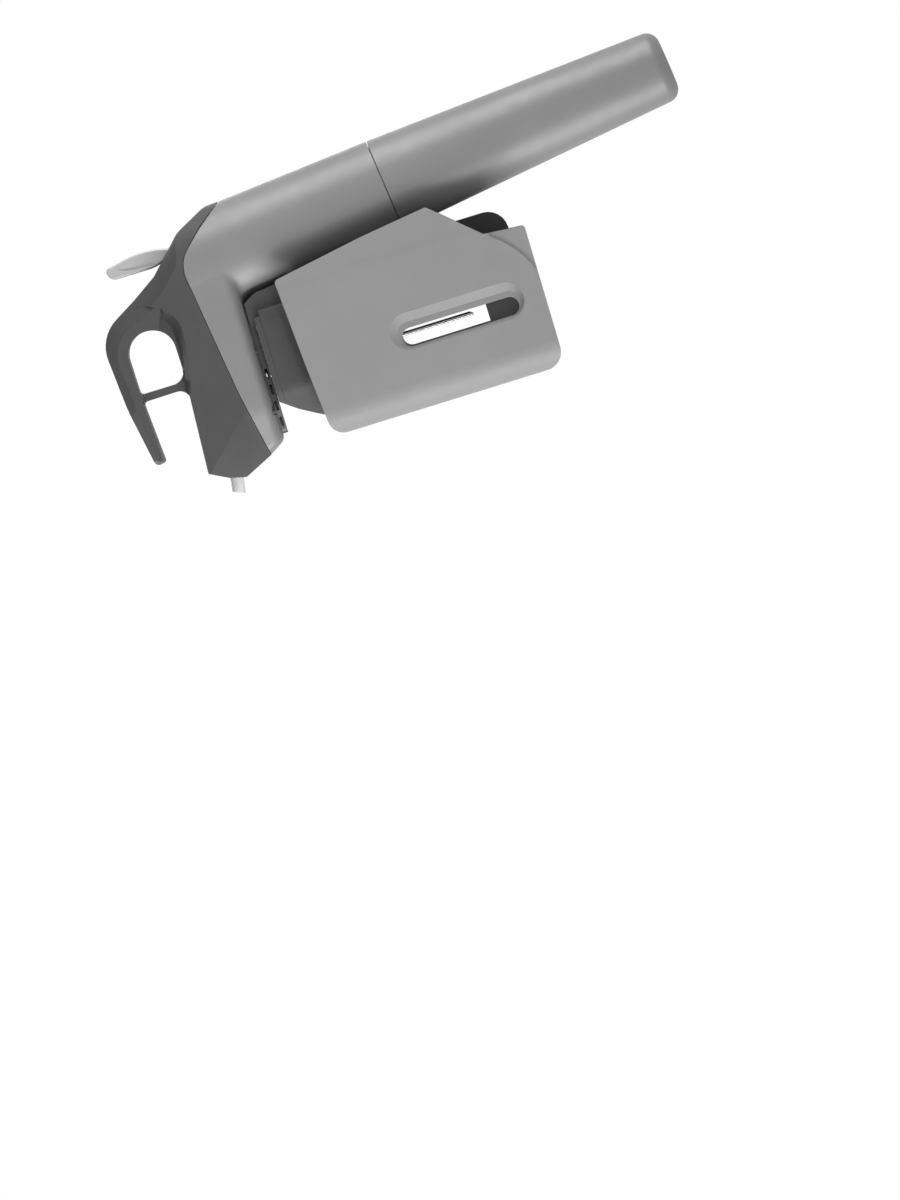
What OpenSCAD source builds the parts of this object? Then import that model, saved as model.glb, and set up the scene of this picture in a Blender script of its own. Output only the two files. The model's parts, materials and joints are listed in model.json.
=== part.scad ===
// Wine preservation dispenser: a needle head that slides on a bottle clamp, with a gas capsule behind.
// The origin is on the needle's axis in the plane of the bottle's lip, with +Z up the needle and
// +X towards the spout. The device is symmetric about the XZ plane, bar its small fittings.

/* [Bottle] */
// Diameter of the bottle neck that the pads grip
neck_d = 29.5; // [28.5:0.1:30]
// Diameter of the cavity round the bottle's lip
lip_d = 30.6; // [30.2:0.1:31]
// Depth of the cavity round the bottle's lip
lip_h = 6; // [4:0.5:7]
// Thickness of the rubber pad on the lip
lip_pad_t = 2; // [1:0.1:2.5]

/* [Needle and spout] */
// Outer diameter of the needle
needle_d = 1.6; // [1.2:0.1:1.8]
// Bore of the needle
needle_bore = 0.9; // [0.5:0.1:1]
// How far the needle reaches below the lip
needle_reach = 58; // [50:1:58]
// Diameter of the bright hub that holds the needle
hub_d = 9.2; // [8:0.1:10]
// Outer diameter of the spout
spout_d = 5; // [4:0.1:5.6]
// Bore of the spout
spout_bore = 3; // [2:0.1:3.2]
// Tilt of the spout above the horizontal
spout_tilt = 8; // [4:1:10]
// Length of the spout that shows
spout_out = 7; // [5:0.5:7.5]

/* [Head] */
// Width of the head over the gas tube
head_back_w = 37.2; // [36.6:0.1:38]
// Width of the head half way along the arm
head_mid_w = 27; // [26.5:0.1:30]
// Width of the flat at the nose
nose_w = 10; // [8:0.5:12]
// Wall of the head's two shells
head_wall = 2; // [1.6:0.1:2.2]
// Height of the gap between the head and the hood
head_gap = 2.3; // [1.5:0.1:3]
// Open line between the shell and the cover
seam_gap = 0.25; // [0.1:0.05:0.4]
// Thickness of the handle's loop
handle_w = 18; // [15:0.5:19]
// Diameter of the screws in the shells
screw_d = 2.2; // [1.8:0.1:2.6]

/* [Trigger and valve] */
// Width of the trigger blade
trigger_w = 11; // [9:0.5:12]
// Turn of the trigger when pressed
trigger_turn = 12.5; // [8:0.5:12.5]
// Diameter of the trigger's pin
trigger_pin_d = 3; // [2:0.1:3.4]
// Diameter of the valve's stem
stem_d = 3.6; // [3:0.1:4]
// Outer diameter of the valve body
valve_d = 11; // [10:0.5:12]
// Outer diameter of the gas pipes
pipe_d = 3; // [2.4:0.1:3.4]

/* [Gas tube and capsule] */
// Lean of the gas tube from the needle
tube_lean = 6.2; // [5:0.1:6.4]
// Diameter of the gas tube at its open end
tube_d = 34.4; // [34:0.1:35]
// Diameter of the cup's closed end
cup_tip_d = 26.6; // [26:0.1:28]
// Radius of the cup's bottom edge
cup_edge_r = 5; // [3:0.5:6]
// Diameter of the gas capsule
capsule_d = 22; // [21:0.1:22.2]
// Length of the gas capsule
capsule_len = 88; // [84:0.5:90]
// Thickness of the rubber pad under the capsule
cup_pad_t = 1.3; // [0.8:0.1:2]
// Outer diameter of the neck that the cup screws on
collar_d = 26.4; // [25.6:0.1:26.6]
// Length of the neck that the cup screws on
collar_len = 14; // [11:0.5:14]

/* [Slide] */
// Width of the slide post
post_w = 10.6; // [9:0.1:11]
// Depth of the slide post
post_t = 7.1; // [6:0.1:7.2]
// Travel of the head up the post
travel = 60; // [50:1:60]
// Play between the post and its bush, each side
slide_play = 0.1; // [0.05:0.01:0.15]

/* [Clamp] */
// Width of the clamp over both jaws
clamp_w = 54; // [53:0.5:58]
// Wall of the jaw shells
jaw_wall = 2.4; // [2:0.1:2.8]
// Diameter of the jaws' hinge pins
hinge_d = 3; // [2.4:0.1:3.4]
// Distance between the two hinge pins
hinge_span = 27; // [26.4:0.1:28]
// Width of the sight window
window_w = 6.7; // [5.5:0.1:7.5]
// Length of the sight window
window_len = 43.5; // [40:0.5:44]
// Thickness of the rubber grip pads
pad_t = 3; // [2:0.1:3.4]
// Width of the grip pads
pad_w = 22; // [18:0.5:24]

/* [Hidden] */
$fn = 64;
eps = 0.01;      // overlap of cuts past a face
big = 400;       // longer than anything here
fit = 0.05;      // play of a pin or plug in its hole
gap = 0.3;       // space left between pieces that don't bear on each other
arc_steps = 6;   // segments in each rounded corner of an outline

// finishes
satin = [0.62, 0.62, 0.62];
graphite = [0.36, 0.36, 0.37];
charcoal = [0.2, 0.2, 0.21];
rubber = [0.1, 0.1, 0.1];
steel = [0.75, 0.76, 0.78];
clear_white = [0.9, 0.9, 0.9];
brass = [0.72, 0.6, 0.35];

// heights up the needle's axis
lip_r = lip_d / 2;
neck_r = neck_d / 2;
needle_r = needle_d / 2;
hood_floor_t = 3;
hood_floor_z = lip_pad_t + hood_floor_t;
hood_top_z = 18;
hood_wall = 2.2;
base_cap_t = 2.2;
base_cap_z = hood_top_z - base_cap_t;
under_z = hood_top_z + head_gap;
floor_z = under_z + head_wall;
hub_r = hub_d / 2;
hub_z = hood_top_z + 2 * gap;
hub_stub_r = 2.5;
hub_stub_z = floor_z + 8.7;
seal_t = 1.5;

// head outlines, as corners of [along, up or across, corner radius]
seam_corners = [[-65.3, 18, 0], [-57.5, 28.3, 40], [-47, 38.1, 7], [3, 31.6, 120], [27.4, 26.6, 0]];
nose_low_x = 23.6;
tube_x = -53;                       // where the tube's axis meets the plane of its open end
tube_z = -41;
tube_r = tube_d / 2;
tube_top_r = head_back_w / 2;
tube_rise = 59.3;                   // along the tube's axis, where it reaches the full width
tube_cut = 85;                      // past the seam, which trims the tube
arm_back_x = -46;
arm_mid_x = 10;
nose_side_x = 24;
nose_side_w = 17;
nose_x = 32.4;
arm_side = [[nose_low_x, under_z, 3], [27.4, 26.6, 0], [27.4, 45, 0], [arm_back_x, 45, 0],
    [arm_back_x, under_z, 0]];
arm_plan = [[arm_back_x, -head_back_w / 2, 0], [arm_mid_x, -head_mid_w / 2, 30],
    [nose_side_x, -nose_side_w / 2, 6], [nose_x, -nose_w / 2, 1], [nose_x, nose_w / 2, 1],
    [nose_side_x, nose_side_w / 2, 6], [arm_mid_x, head_mid_w / 2, 30],
    [arm_back_x, head_back_w / 2, 0]];
cover_front = [[27.4, 26.6, 0], [32.4, 37.3, 1.2], [30.8, 43.6, 1], [27.3, 50.2, 1]];
cover_top = [[-4.3, 48.1, 4], [-4.1, 64.9, 1.5], [18.6, 63.4, 1], [19.4, 67.2, 2.2], [-3, 71.1, 60],
    [-31, 73.2, 14], [-40.5, 56.5, 30], [-63, 31.5, 16], [-65.3, 18, 0]];
finger_hole = [[-7, 47.8, 5], [-7, 65.1, 1.3], [-22.5, 65.4, 6], [-28.8, 57, 8], [-26.6, 47.4, 6]];
hand_z = 48;                        // the loop is solid above this height
cover_lean = 17.5;                  // lean of the cover's sides, and their turn towards the nose
cover_turn = 7.4;
cover_side_z = 32;                  // height at which the leaning side meets the arm over the needle

// spout and manifold
spout_x = 31.4;
spout_z = 40.9;
spout_in = 19.6;                    // from the nose back into the manifold
spout_cut_tilt = 23.5;
spout_r = spout_d / 2;
spout_tip_r = spout_r - 0.1;
spout_tip_out = 0.6;                // from the nose to the thinner free end
spout_seal_r = spout_r + 1.4;
spout_seal_back = 12.5;
manifold_back_x = -9;
manifold_front_x = 20;
manifold_w = 11.2;
manifold_top_z = 44;
pipe_r = pipe_d / 2;
pipe_bore_r = 0.8;
pipe_elbow = 3;
gas_port_z = 34.5;
gas_bend_x = manifold_back_x - 18;
valve_pipe_out = 3.5;

// trigger and valve
pivot_x = -50.5;
pivot_z = 38;
trigger_hub_r = 3.2;
trigger_arm_t = 3.6;
trigger_arm_len = 12.5;
trigger_pin_r = trigger_pin_d / 2;
trigger_pin_len = 19;
blade = [[-52.5, 37, 0], [-49.2, 46.5, 12], [-49.2, 63.2, 3.2], [-53.6, 64.3, 1.7], [-56.9, 48, 30],
    [-53.6, 37.5, 0]];
slot_x = [-57.8, -46.4];
valve_x = -40.5;
shelf_z = 12;
shelf_t = 2;
valve_z = shelf_z + shelf_t;
valve_r = valve_d / 2;
valve_top_z = valve_z + 14;
stem_r = stem_d / 2;
stem_z = valve_z + 6;
stem_play = 0.06;
stem_top_z = pivot_z - trigger_arm_t / 2 - gap;
stem_nub_h = 0.9;
stem_cap_t = 1;
stem_cap_z = stem_top_z - stem_nub_h - stem_cap_t;
stem_cap_r = stem_r + 1.4;
valve_port_z = valve_z + 10.5;

// screws in the shells, as [x, y]
cover_screw_xy = [[12, 8.9], [-10.5, 10.9]];
post_screw_y = 8.1;
screw_r = screw_d / 2;
screw_head_r = screw_r + 1.1;
screw_head_t = 1.3;
boss_r = screw_r + 1.3;
boss_top_z = 29;
cover_screw_len = 13;

// gas tube, in its own frame: up its axis from the plane of its open end
ledge_t = 2;
cup_top_r = tube_r - 0.05;
cup_wall = 3.6;
cup_thread_r = collar_d / 2 + 0.25;
cup_bore_r = capsule_d / 2 + 0.7;
cup_tip_r = cup_tip_d / 2;
cup_floor_t = 5.4;
cup_pad_r = 7.6;
cup_floor_r = cup_pad_r + 0.8;
cup_cone_h = 12;                    // from the cup's floor to its full bore
collar_r = collar_d / 2;
seal_out = 1.7;                     // how far the capsule's seal stands out of the collar
seal_h = 3.5;
capsule_seal_r = 4.5;
capsule_top = -(collar_len + seal_out + gap);
capsule_neck_r = 4.2;
capsule_neck_len = 11;
capsule_bottom = capsule_top - capsule_len;
cup_len = cup_floor_t + cup_pad_t + gap - capsule_bottom;
pierced_r = 1.5;
pin_r = 1;
pin_tip = capsule_top - 2.5;
pin_root = -3;
flange_r = 14.9;
flange_t = 3;
flange_top = ledge_t + gap / 2 + flange_t;
barrel_r = 11;
barrel_top = 30;
chamber_r = 7.1;
chamber_z = 6;
piston_z = 9;
piston_t = 5;
cap_t = 4;
cap_plug = 2;
nipple_top = barrel_top + cap_t + 4;
ring_t = 1.2;                       // the ring that holds the regulator's flange down
ring_in_r = 13.8;
ring_out_r = 15.9;

// slide
sleeve_gap = 1.35;                  // between the bottle's neck and the sleeve
sleeve_wall = 1.3;
sleeve_front_x = -(neck_r + sleeve_gap);
bush_front_x = sleeve_front_x - sleeve_wall;
bush_wall = 0.8;
post_front_x = bush_front_x - bush_wall - slide_play;
post_back_x = post_front_x - post_t;
post_x = (post_front_x + post_back_x) / 2;
bush_back_x = post_back_x - slide_play - bush_wall;
bush_w = post_w + 2 * (slide_play + 2.2);
bush_z = -5.5;
sleeve_w = bush_w + 2 * 1.5;
stop_w = post_w + 1.6;              // the foot, which stops the head under the bush
stop_h = 6;
stop_side = 0.7;                    // how far the foot stands out before and behind the post
foot_z = bush_z - 0.5 - travel - stop_h;
well_w = stop_w + 2 * gap;
well_back_x = post_back_x - stop_side - gap;
well_front_x = post_front_x + stop_side + gap;
bumper_t = 4;
well_z = foot_z - gap - bumper_t;
sleeve_z = -79;
sleeve_back_top_x = -27.4;
sleeve_back_x = -33.3;
sleeve_side = [[sleeve_front_x, sleeve_z, 0], [sleeve_front_x, hood_top_z, 0],
    [sleeve_back_top_x, hood_top_z, 0], [sleeve_back_x, -30, 20], [sleeve_back_x, sleeve_z, 7.5]];
flange_w = 22;
post_flange_t = 4.7;
post_flange_reach = 3;

// hood
hood_front_x = 19.5;
hood_back_x = -24;
hood_w = 34;
hood_side = [[hood_back_x, -lip_h, 0], [hood_front_x, -lip_h, 1], [hood_front_x, 3.5, 2],
    [14.5, 12, 2], [10, hood_top_z, 1], [hood_back_x, hood_top_z, 0]];
hood_plan = [[hood_back_x, -14.5, 2], [-19, -16, 6], [6, -hood_w / 2, 9], [hood_front_x, -9.5, 8],
    [hood_front_x, 9.5, 8], [6, hood_w / 2, 9], [-19, 16, 6], [hood_back_x, 14.5, 2]];
guide_r = 3.9;
guide_flange_r = 5.6;
guide_play = 0.2;
cap_screw_xy = [-4, 11.2];

// hinges and clamp
hinge_x = -25;
hinge_y = hinge_span / 2;
hinge_r = hinge_d / 2;
hinge_fit = 0.06;
barrel_out_r = hinge_r + 2;
upper_barrel = [-21, -8];
lower_barrel = [-61, -46];
lug_gap = 0.4;
upper_lug = [upper_barrel[1] + lug_gap, 1];
lower_lug = [-66, lower_barrel[0] - lug_gap];
spring_wire_r = 0.45;
jaw_front_x = 27.5;
jaw_rear_x = -43;
jaw_y = clamp_w / 2;
jaw_tail_y = jaw_y - 5.4;
jaw_in_y = jaw_y - jaw_wall;
jaw_edge_y = 8;
jaw_side = [[-26, -69.6, 1], [-24.6, -84.6, 1], [jaw_front_x, -84, 7], [jaw_front_x, 2.8, 6],
    [0, 5, 60], [-32.1, 6.9, 1.5], [-37.9, -27, 60], [-41.3, -52.6, 1.2]];
jaw_plan = [[jaw_front_x, jaw_edge_y, 0], [jaw_front_x, jaw_y, 10.5], [-29, jaw_y, 12],
    [jaw_rear_x, jaw_tail_y, 0], [jaw_rear_x, jaw_tail_y - jaw_wall, 0],
    [-29 + 0.6, jaw_in_y, 9.6], [jaw_front_x - jaw_wall, jaw_in_y, 8.1],
    [jaw_front_x - jaw_wall, jaw_edge_y, 0]];
window_x = 1.55;
window_z = -52.75;
dish_side = 5;
dish_end = 3;
dish_t = 1;
corner_step_t = 0.8;
liner_t = 1.8;
liner_in_y = jaw_in_y - liner_t;
liner_x = [-26, 16];
liner_z = [-80, -3];
pad_back_y = neck_r + pad_t;
pad_edge_y = 10;
upper_pad = [-28, -8];
lower_pad = [-82, -64];
jaw_screw_xz = [[12, -34], [12, -58], [-14, -34], [-14, -58]];

function dir(a) = [cos(a), sin(a)];
function flat(p) = [p.x, p.y];
function unit(v) = v / norm(v);
// angle from one direction to the next, within half a turn either way
function swing(a, b) = let (d = b - a) d > 180 ? d - 360 : d < -180 ? d + 360 : d;

// the arc that rounds corner b between corners a and c, or the corner itself
function corner(a, b, c) = b[2] == 0 ? [flat(b)] :
    let (u = unit(flat(a) - flat(b)), v = unit(flat(c) - flat(b)), half = acos(u * v) / 2,
        mid = flat(b) + unit(u + v) * b[2] / sin(half),
        from = flat(b) + u * b[2] / tan(half) - mid, to = flat(b) + v * b[2] / tan(half) - mid,
        start = atan2(from.y, from.x), turn = swing(start, atan2(to.y, to.x)))
    [for (k = [0:arc_steps]) mid + b[2] * dir(start + turn * k / arc_steps)];

// a closed outline, and an open line, with their corners rounded
function closed(c) = let (n = len(c)) [for (i = [0:n - 1]) each corner(c[(i + n - 1) % n], c[i], c[(i + 1) % n])];
function open(c) = let (n = len(c))
    [for (i = [0:n - 1]) each i == 0 || i == n - 1 ? [flat(c[i])] : corner(c[i - 1], c[i], c[i + 1])];

// the outline, drawn counterclockwise, moved in by t: round corners get tighter and hollow ones wider
function left(v) = [-v.y, v.x];
function shrink(c, t) = let (n = len(c)) [for (i = [0:n - 1])
    let (u = unit(flat(c[i]) - flat(c[(i + n - 1) % n])), v = unit(flat(c[(i + 1) % n]) - flat(c[i])),
        in = unit(left(u) + left(v)), at = flat(c[i]) + in * t / (in * left(u)),
        turn = u.x * v.y - u.y * v.x)
    [at.x, at.y, c[i][2] == 0 ? 0 : turn > 0 ? max(c[i][2] - t, 0.2) : c[i][2] + t]];

seam_line = open(seam_corners);
cover_side = concat(open(concat([cover_front[0]], [for (i = [1:3]) cover_front[i]],
    cover_top)), [for (i = [1:len(seam_line) - 2]) seam_line[i]]);

// a side outline, given along X and up Z, made as thick as w about the XZ plane
module side(points, w) rotate([90, 0, 0]) linear_extrude(w, center = true) polygon(points);

// a plan outline between two heights
module plan(points, z0, z1) translate([0, 0, z0]) linear_extrude(z1 - z0) polygon(points);

// a cylinder up Z between two heights, or along Y between two places
module rod(r, z0, z1) translate([0, 0, z0]) cylinder(r = r, h = z1 - z0);
module cross_rod(r, y0, y1) translate([0, y0, 0]) rotate([-90, 0, 0]) cylinder(r = r, h = y1 - y0);

// a box between two corners
module block(a, b) translate(a) cube(b - a);

// a bent rod in the XZ plane along the corners [x, z, elbow radius]: twelve-sided rings, joined by triangles
pipe_sides = 12;
function ring_frame(p, i) = unit(p[min(i + 1, len(p) - 1)] - p[max(i - 1, 0)]);
module bent_rod(corners, r) {
    p = open(corners);
    n = pipe_sides;
    last = len(p) - 1;
    points = [for (i = [0:last]) let (across = left(ring_frame(p, i)))
        each [for (k = [0:n - 1]) let (f = 360 * k / n)
            [p[i].x, 0, p[i].y] + r * [cos(f) * across.x, sin(f), cos(f) * across.y]]];
    walls = [for (i = [0:last - 1], k = [0:n - 1])
        let (a = i * n + k, b = i * n + (k + 1) % n) each [[a, b, b + n], [a, b + n, a + n]]];
    ends = [for (k = [1:n - 2]) each [[0, k + 1, k], [last * n, last * n + k, last * n + k + 1]]];
    polyhedron(points, concat(walls, ends));
}

module both_sides() {
    children();
    mirror([0, 1, 0]) children();
}

// the gas tube's and the spout's own frames
module in_tube() translate([tube_x, 0, tube_z]) rotate([0, tube_lean, 0]) children();
module in_spout() translate([spout_x, 0, spout_z]) rotate([0, 90 - spout_tilt, 0]) children();

// a coil of round wire about Z: the rings of six points along it, joined by triangles
wire_sides = 6;
curl_rings = 8;
function coil_centre(r, z, pitch, a) = [r * cos(a), r * sin(a), z + pitch * a / 360];
function coil_ring(r, w, z, pitch, a) =
    let (b = atan(pitch / (2 * PI * r)), out = [cos(a), sin(a), 0],
        up = [sin(a) * sin(b), -cos(a) * sin(b), cos(b)])
    [for (k = [0:wire_sides - 1]) let (f = 360 * k / wire_sides)
        coil_centre(r, z, pitch, a) + w * (cos(f) * out + sin(f) * up)];
function coil_space(r, w, pitch) = min([for (k = [1:curl_rings])
    norm(coil_centre(r, 0, pitch, 0) - coil_centre(r, 0, pitch, 360 + 45 * (k - curl_rings / 2)))]) - 2 * w;

module coil(r, w, z0, z1, turns) {
    pitch = (z1 - z0 - 2 * w) / turns;
    rings = turns * curl_rings;
    n = wire_sides;
    points = [for (i = [0:rings]) each coil_ring(r, w, z0 + w, pitch, 360 * i / curl_rings)];
    walls = [for (i = [0:rings - 1], k = [0:n - 1])
        let (a = i * n + k, b = i * n + (k + 1) % n) each [[a, b, b + n], [a, b + n, a + n]]];
    ends = [for (k = [1:n - 2]) each [[0, k + 1, k], [rings * n, rings * n + k, rings * n + k + 1]]];
    echo(least_gap_in_coil = coil_space(r, w, pitch));
    polyhedron(points, concat(walls, ends));
}

// ---- head: shells ----

module below_seam(drop) side(concat([[40, 26.6 - drop], [40, -200], [-90, -200], [-90, 18 - drop]],
    [for (p = seam_line) p - [0, drop]]), big);

module tube_cone(inset, from, to) in_tube() translate([0, 0, from]) {
    slope = (tube_top_r - tube_r) / tube_rise;
    cylinder(r1 = tube_r + slope * from - inset, r2 = tube_r + slope * to - inset, h = to - from);
}

// the arm, which runs back into the tube by more than its wall
module arm(inset) intersection() {
    side(closed(shrink(arm_side, inset)), big);
    plan(closed(shrink(arm_plan, inset)), 0, 60);
}

module head_outside() {
    arm(0);
    tube_cone(0, gap / 2, tube_cut);
}

module head_inside() {
    arm(head_wall);
    difference() {
        tube_cone(head_wall, ledge_t + gap / 2, tube_cut);
        block([-80, -40, shelf_z], [0, 40, valve_z]);
    }
}

module head_shell() color(satin) difference() {
    intersection() {
        head_outside();
        below_seam(seam_gap / 2);
    }
    difference() {
        head_inside();
        for (p = cover_screw_xy) both_sides() translate([p.x, p.y, 0]) rod(boss_r, under_z, boss_top_z);
    }
    in_tube() {
        rod(collar_r + gap, -eps, ledge_t + 1);
        rod(ring_out_r + fit, flange_top, flange_top + ring_t + 2 * fit);
    }
    for (p = cover_screw_xy) both_sides() translate([p.x, p.y, 0]) {
        rod(screw_r + fit, under_z - eps, 40);
        rod(screw_head_r + fit, under_z - eps, under_z + screw_head_t);
    }
    both_sides() translate([post_x, post_screw_y, 0]) {
        rod(screw_r + fit, under_z - eps, 40);
        rod(screw_head_r + fit, under_z - eps, under_z + screw_head_t);
    }
    rod(hub_r + gap, under_z - eps, floor_z + 1);
    block([post_back_x - gap, -post_w / 2 - gap, under_z - 1],
        [post_front_x + gap, post_w / 2 + gap, floor_z + 1]);
    translate([valve_x, 0, 0]) rod(pipe_r + gap, shelf_z - 1, valve_z + 1);
    in_spout() rod(spout_r + 2 * gap, -spout_in, 20);
}

module cover_slope(inset) difference() {
    plan(closed(shrink(cover_plan(), inset)), 10, 80);
    both_sides() translate([0, head_mid_w / 2 + 0.9 - inset, cover_side_z])
        rotate([cover_lean, 0, -cover_turn]) block([-big, 0, -big], [big, 60, big]);
}

// the arm's plan with the tube's round back
function cover_plan() = concat([for (i = [1:6]) arm_plan[i]], [[arm_back_x - 0.7, head_back_w / 2, 0]],
    [for (k = [1:15]) let (p = [arm_back_x - 0.7, 0] + head_back_w / 2 * dir(90 + 12 * k)) [p.x, p.y, 0]]);

module handle_cover() color(graphite) difference() {
    intersection() {
        side(cover_side, big);
        union() {
            cover_slope(0);
            block([-60, -handle_w / 2, 20], [40, handle_w / 2, 80]);
        }
    }
    below_seam(-seam_gap / 2);
    side(closed(finger_hole), big);
    difference() {
        intersection() {
            side(closed(cover_inner), big);
            cover_slope(head_wall);
        }
        for (p = cover_screw_xy) both_sides() translate([p.x, p.y, 0]) rod(boss_r, boss_top_z + gap, 60);
        both_sides() translate([pivot_x, 0, pivot_z])
            cross_rod(trigger_pin_r + 2, trigger_w / 2 + gap, 30);
    }
    for (p = cover_screw_xy) both_sides() translate([p.x, p.y, 0])
        rod(screw_r + fit, 0, under_z + screw_head_t + cover_screw_len + gap);
    translate([pivot_x, 0, pivot_z]) cross_rod(trigger_pin_r + fit, -trigger_pin_len / 2, trigger_pin_len / 2);
    block([slot_x[0], -trigger_w / 2 - gap, 20], [slot_x[1], trigger_w / 2 + gap, 60]);
    in_spout() rod(spout_r + gap + 0.1, -6, 20);
}
cover_inner = [[25.2, 20, 0], [30, 37, 1], [26, 46.4, 1], [-2, 46, 2], [-31, 45.6, 8], [-41, 51.5, 10],
    [-60.6, 30.5, 14], [-63.2, 10, 0]];

module cover_screws() color(steel) for (p = cover_screw_xy) both_sides() translate([p.x, p.y, 0]) {
    rod(screw_head_r, under_z, under_z + screw_head_t - fit);
    rod(screw_r, under_z, under_z + screw_head_t + cover_screw_len);
}

// ---- head: trigger and valve ----

module trigger() color(steel) difference() {
    union() {
        side(closed(blade), trigger_w);
        translate([pivot_x, 0, pivot_z]) {
            cross_rod(trigger_hub_r, -trigger_w / 2, trigger_w / 2);
            block([0, -3, -trigger_arm_t / 2], [trigger_arm_len, 3, trigger_arm_t / 2]);
        }
    }
    translate([pivot_x, 0, pivot_z]) cross_rod(trigger_pin_r + fit, -10, 10);
}

module trigger_pin() color(steel) translate([pivot_x, 0, pivot_z])
    cross_rod(trigger_pin_r, -trigger_pin_len / 2 + fit, trigger_pin_len / 2 - fit);

module valve_body() color(brass) translate([valve_x, 0, 0]) difference() {
    rod(valve_r, valve_z, valve_top_z);
    rod(stem_r + stem_play, valve_z + 3, valve_top_z + 1);
    rod(pipe_r + fit, valve_z - 1, valve_z + 2);
    rod(pipe_bore_r, valve_z + 1, valve_z + 4);
    translate([0, 0, valve_port_z]) rotate([0, 90, 0]) {
        rod(pipe_bore_r, 0, 10);
        rod(pipe_r + fit, valve_r - 2.2, 10);
    }
}

module valve_stem() color(steel) translate([valve_x, 0, 0]) {
    rod(stem_r, stem_z, stem_cap_z);
    rod(stem_cap_r, stem_cap_z, stem_cap_z + stem_cap_t);
    rod(1.5, stem_cap_z + stem_cap_t, stem_top_z);
}

module valve_spring() color(steel) translate([valve_x, 0, 0])
    coil(stem_r + 0.7, 0.3, valve_top_z + 0.05, stem_cap_z - 0.05, 3);

module bent_pipe(corners) {
    reach = 1;
    start = unit(flat(corners[1]) - flat(corners[0])) * reach;
    last = len(corners) - 1;
    end = unit(flat(corners[last]) - flat(corners[last - 1])) * reach;
    difference() {
        bent_rod(corners, pipe_r);
        bent_rod(concat([[corners[0].x - start.x, corners[0].y - start.y, 0]],
            [for (i = [1:last - 1]) corners[i]],
            [[corners[last].x + end.x, corners[last].y + end.y, 0]]), pipe_bore_r);
    }
}

tube_up = [sin(tube_lean), cos(tube_lean)];
feed_low = [tube_x, tube_z] + tube_up * (nipple_top - 2);
feed_turn = feed_low + 6 * tube_up;
module feed_pipe() color(steel) bent_pipe([[feed_low.x, feed_low.y, 0], [feed_turn.x, feed_turn.y, pipe_elbow],
    [valve_x, shelf_z - 4, pipe_elbow], [valve_x, valve_z + 1.8, 0]]);

module gas_pipe() color(steel) bent_pipe([[valve_x + valve_r - 2, valve_port_z, 0],
    [valve_x + valve_r + valve_pipe_out, valve_port_z, pipe_elbow], [gas_bend_x, gas_port_z, pipe_elbow],
    [manifold_back_x + 2.8, gas_port_z, 0]]);

// ---- head: liquid path ----

module manifold() color(charcoal) difference() {
    block([manifold_back_x, -manifold_w / 2, floor_z], [manifold_front_x, manifold_w / 2, manifold_top_z]);
    rod(hub_stub_r + fit, floor_z - 1, hub_stub_z + seal_t + 0.1);
    rod(1, floor_z, spout_z - 3);
    in_spout() {
        rod(spout_bore / 2, -spout_x, 0);
        rod(spout_r + fit, -spout_in - fit, 0);
        rod(spout_seal_r + fit, -spout_seal_back, 0);
    }
    translate([manifold_back_x, 0, gas_port_z]) rotate([0, 90, 0]) {
        rod(pipe_bore_r, -1, -manifold_back_x);
        rod(pipe_r + fit, -1, 3);
    }
}

module needle_hub() color(steel) difference() {
    union() {
        rod(hub_r, hub_z + 0.8, floor_z);
        translate([0, 0, hub_z]) cylinder(r1 = hub_r - 0.8, r2 = hub_r, h = 0.8);
        rod(hub_stub_r, hub_z + 1, hub_stub_z);
    }
    rod(needle_r + fit, 0, 60);
}

module needle() color(steel) difference() {
    rod(needle_r, -needle_reach, hub_stub_z + seal_t);
    rod(needle_bore / 2, -needle_reach - 1, 60);
    translate([0, 0, -needle_reach]) rotate([0, 60, 0]) block([-5, -5, -10], [20, 5, 0]);
}

module needle_seal() color(rubber) difference() {
    rod(hub_stub_r, hub_stub_z, hub_stub_z + seal_t);
    rod(needle_r + fit, 0, 60);
}

module spout() color(clear_white) difference() {
    in_spout() {
        rod(spout_r, -spout_in, spout_tip_out);
        rod(spout_tip_r, spout_tip_out, spout_out + 3);
    }
    in_spout() rod(spout_bore / 2, -spout_in - 1, spout_out + 4);
    in_spout() translate([0, 0, spout_out - 1.4]) rotate([0, spout_tilt - spout_cut_tilt, 0])
        block([-20, -20, 0], [20, 20, 20]);
}

module spout_seal() color(rubber) in_spout() difference() {
    rod(spout_seal_r, -spout_seal_back, -spout_seal_back + 2);
    rod(spout_r + fit, -20, 20);
}

// ---- head: regulator ----

module regulator_body() color(brass) in_tube() difference() {
    union() {
        rod(collar_r, -collar_len, ledge_t + gap / 2);
        rod(flange_r, ledge_t + gap / 2, flange_top);
        rod(barrel_r, ledge_t, barrel_top);
    }
    rod(chamber_r, chamber_z, barrel_top + 1);
    rod(capsule_seal_r + fit, -collar_len - 1, -collar_len - seal_out + seal_h);
    rod(pin_r + fit, -collar_len, pin_root);
    translate([3, 0, 0]) rod(0.6, -collar_len, chamber_z + 1);
}

module regulator_cap() color(brass) in_tube() difference() {
    union() {
        rod(barrel_r, barrel_top, barrel_top + cap_t);
        rod(chamber_r - fit, barrel_top - cap_plug, barrel_top);
        rod(pipe_r + 1.3, barrel_top + cap_t, nipple_top);
    }
    rod(pipe_bore_r, 0, 60);
    rod(pipe_r + fit, nipple_top - 2.2, 60);
}

module regulator_piston() color(steel) in_tube() difference() {
    union() {
        rod(chamber_r - fit, piston_z, piston_z + piston_t);
        rod(2, chamber_z + 0.2, piston_z);
    }
    for (z = [1.2, 3]) difference() {
        rod(chamber_r + 1, piston_z + z, piston_z + z + 0.8);
        rod(chamber_r - 0.8, 0, 20);
    }
}

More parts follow.
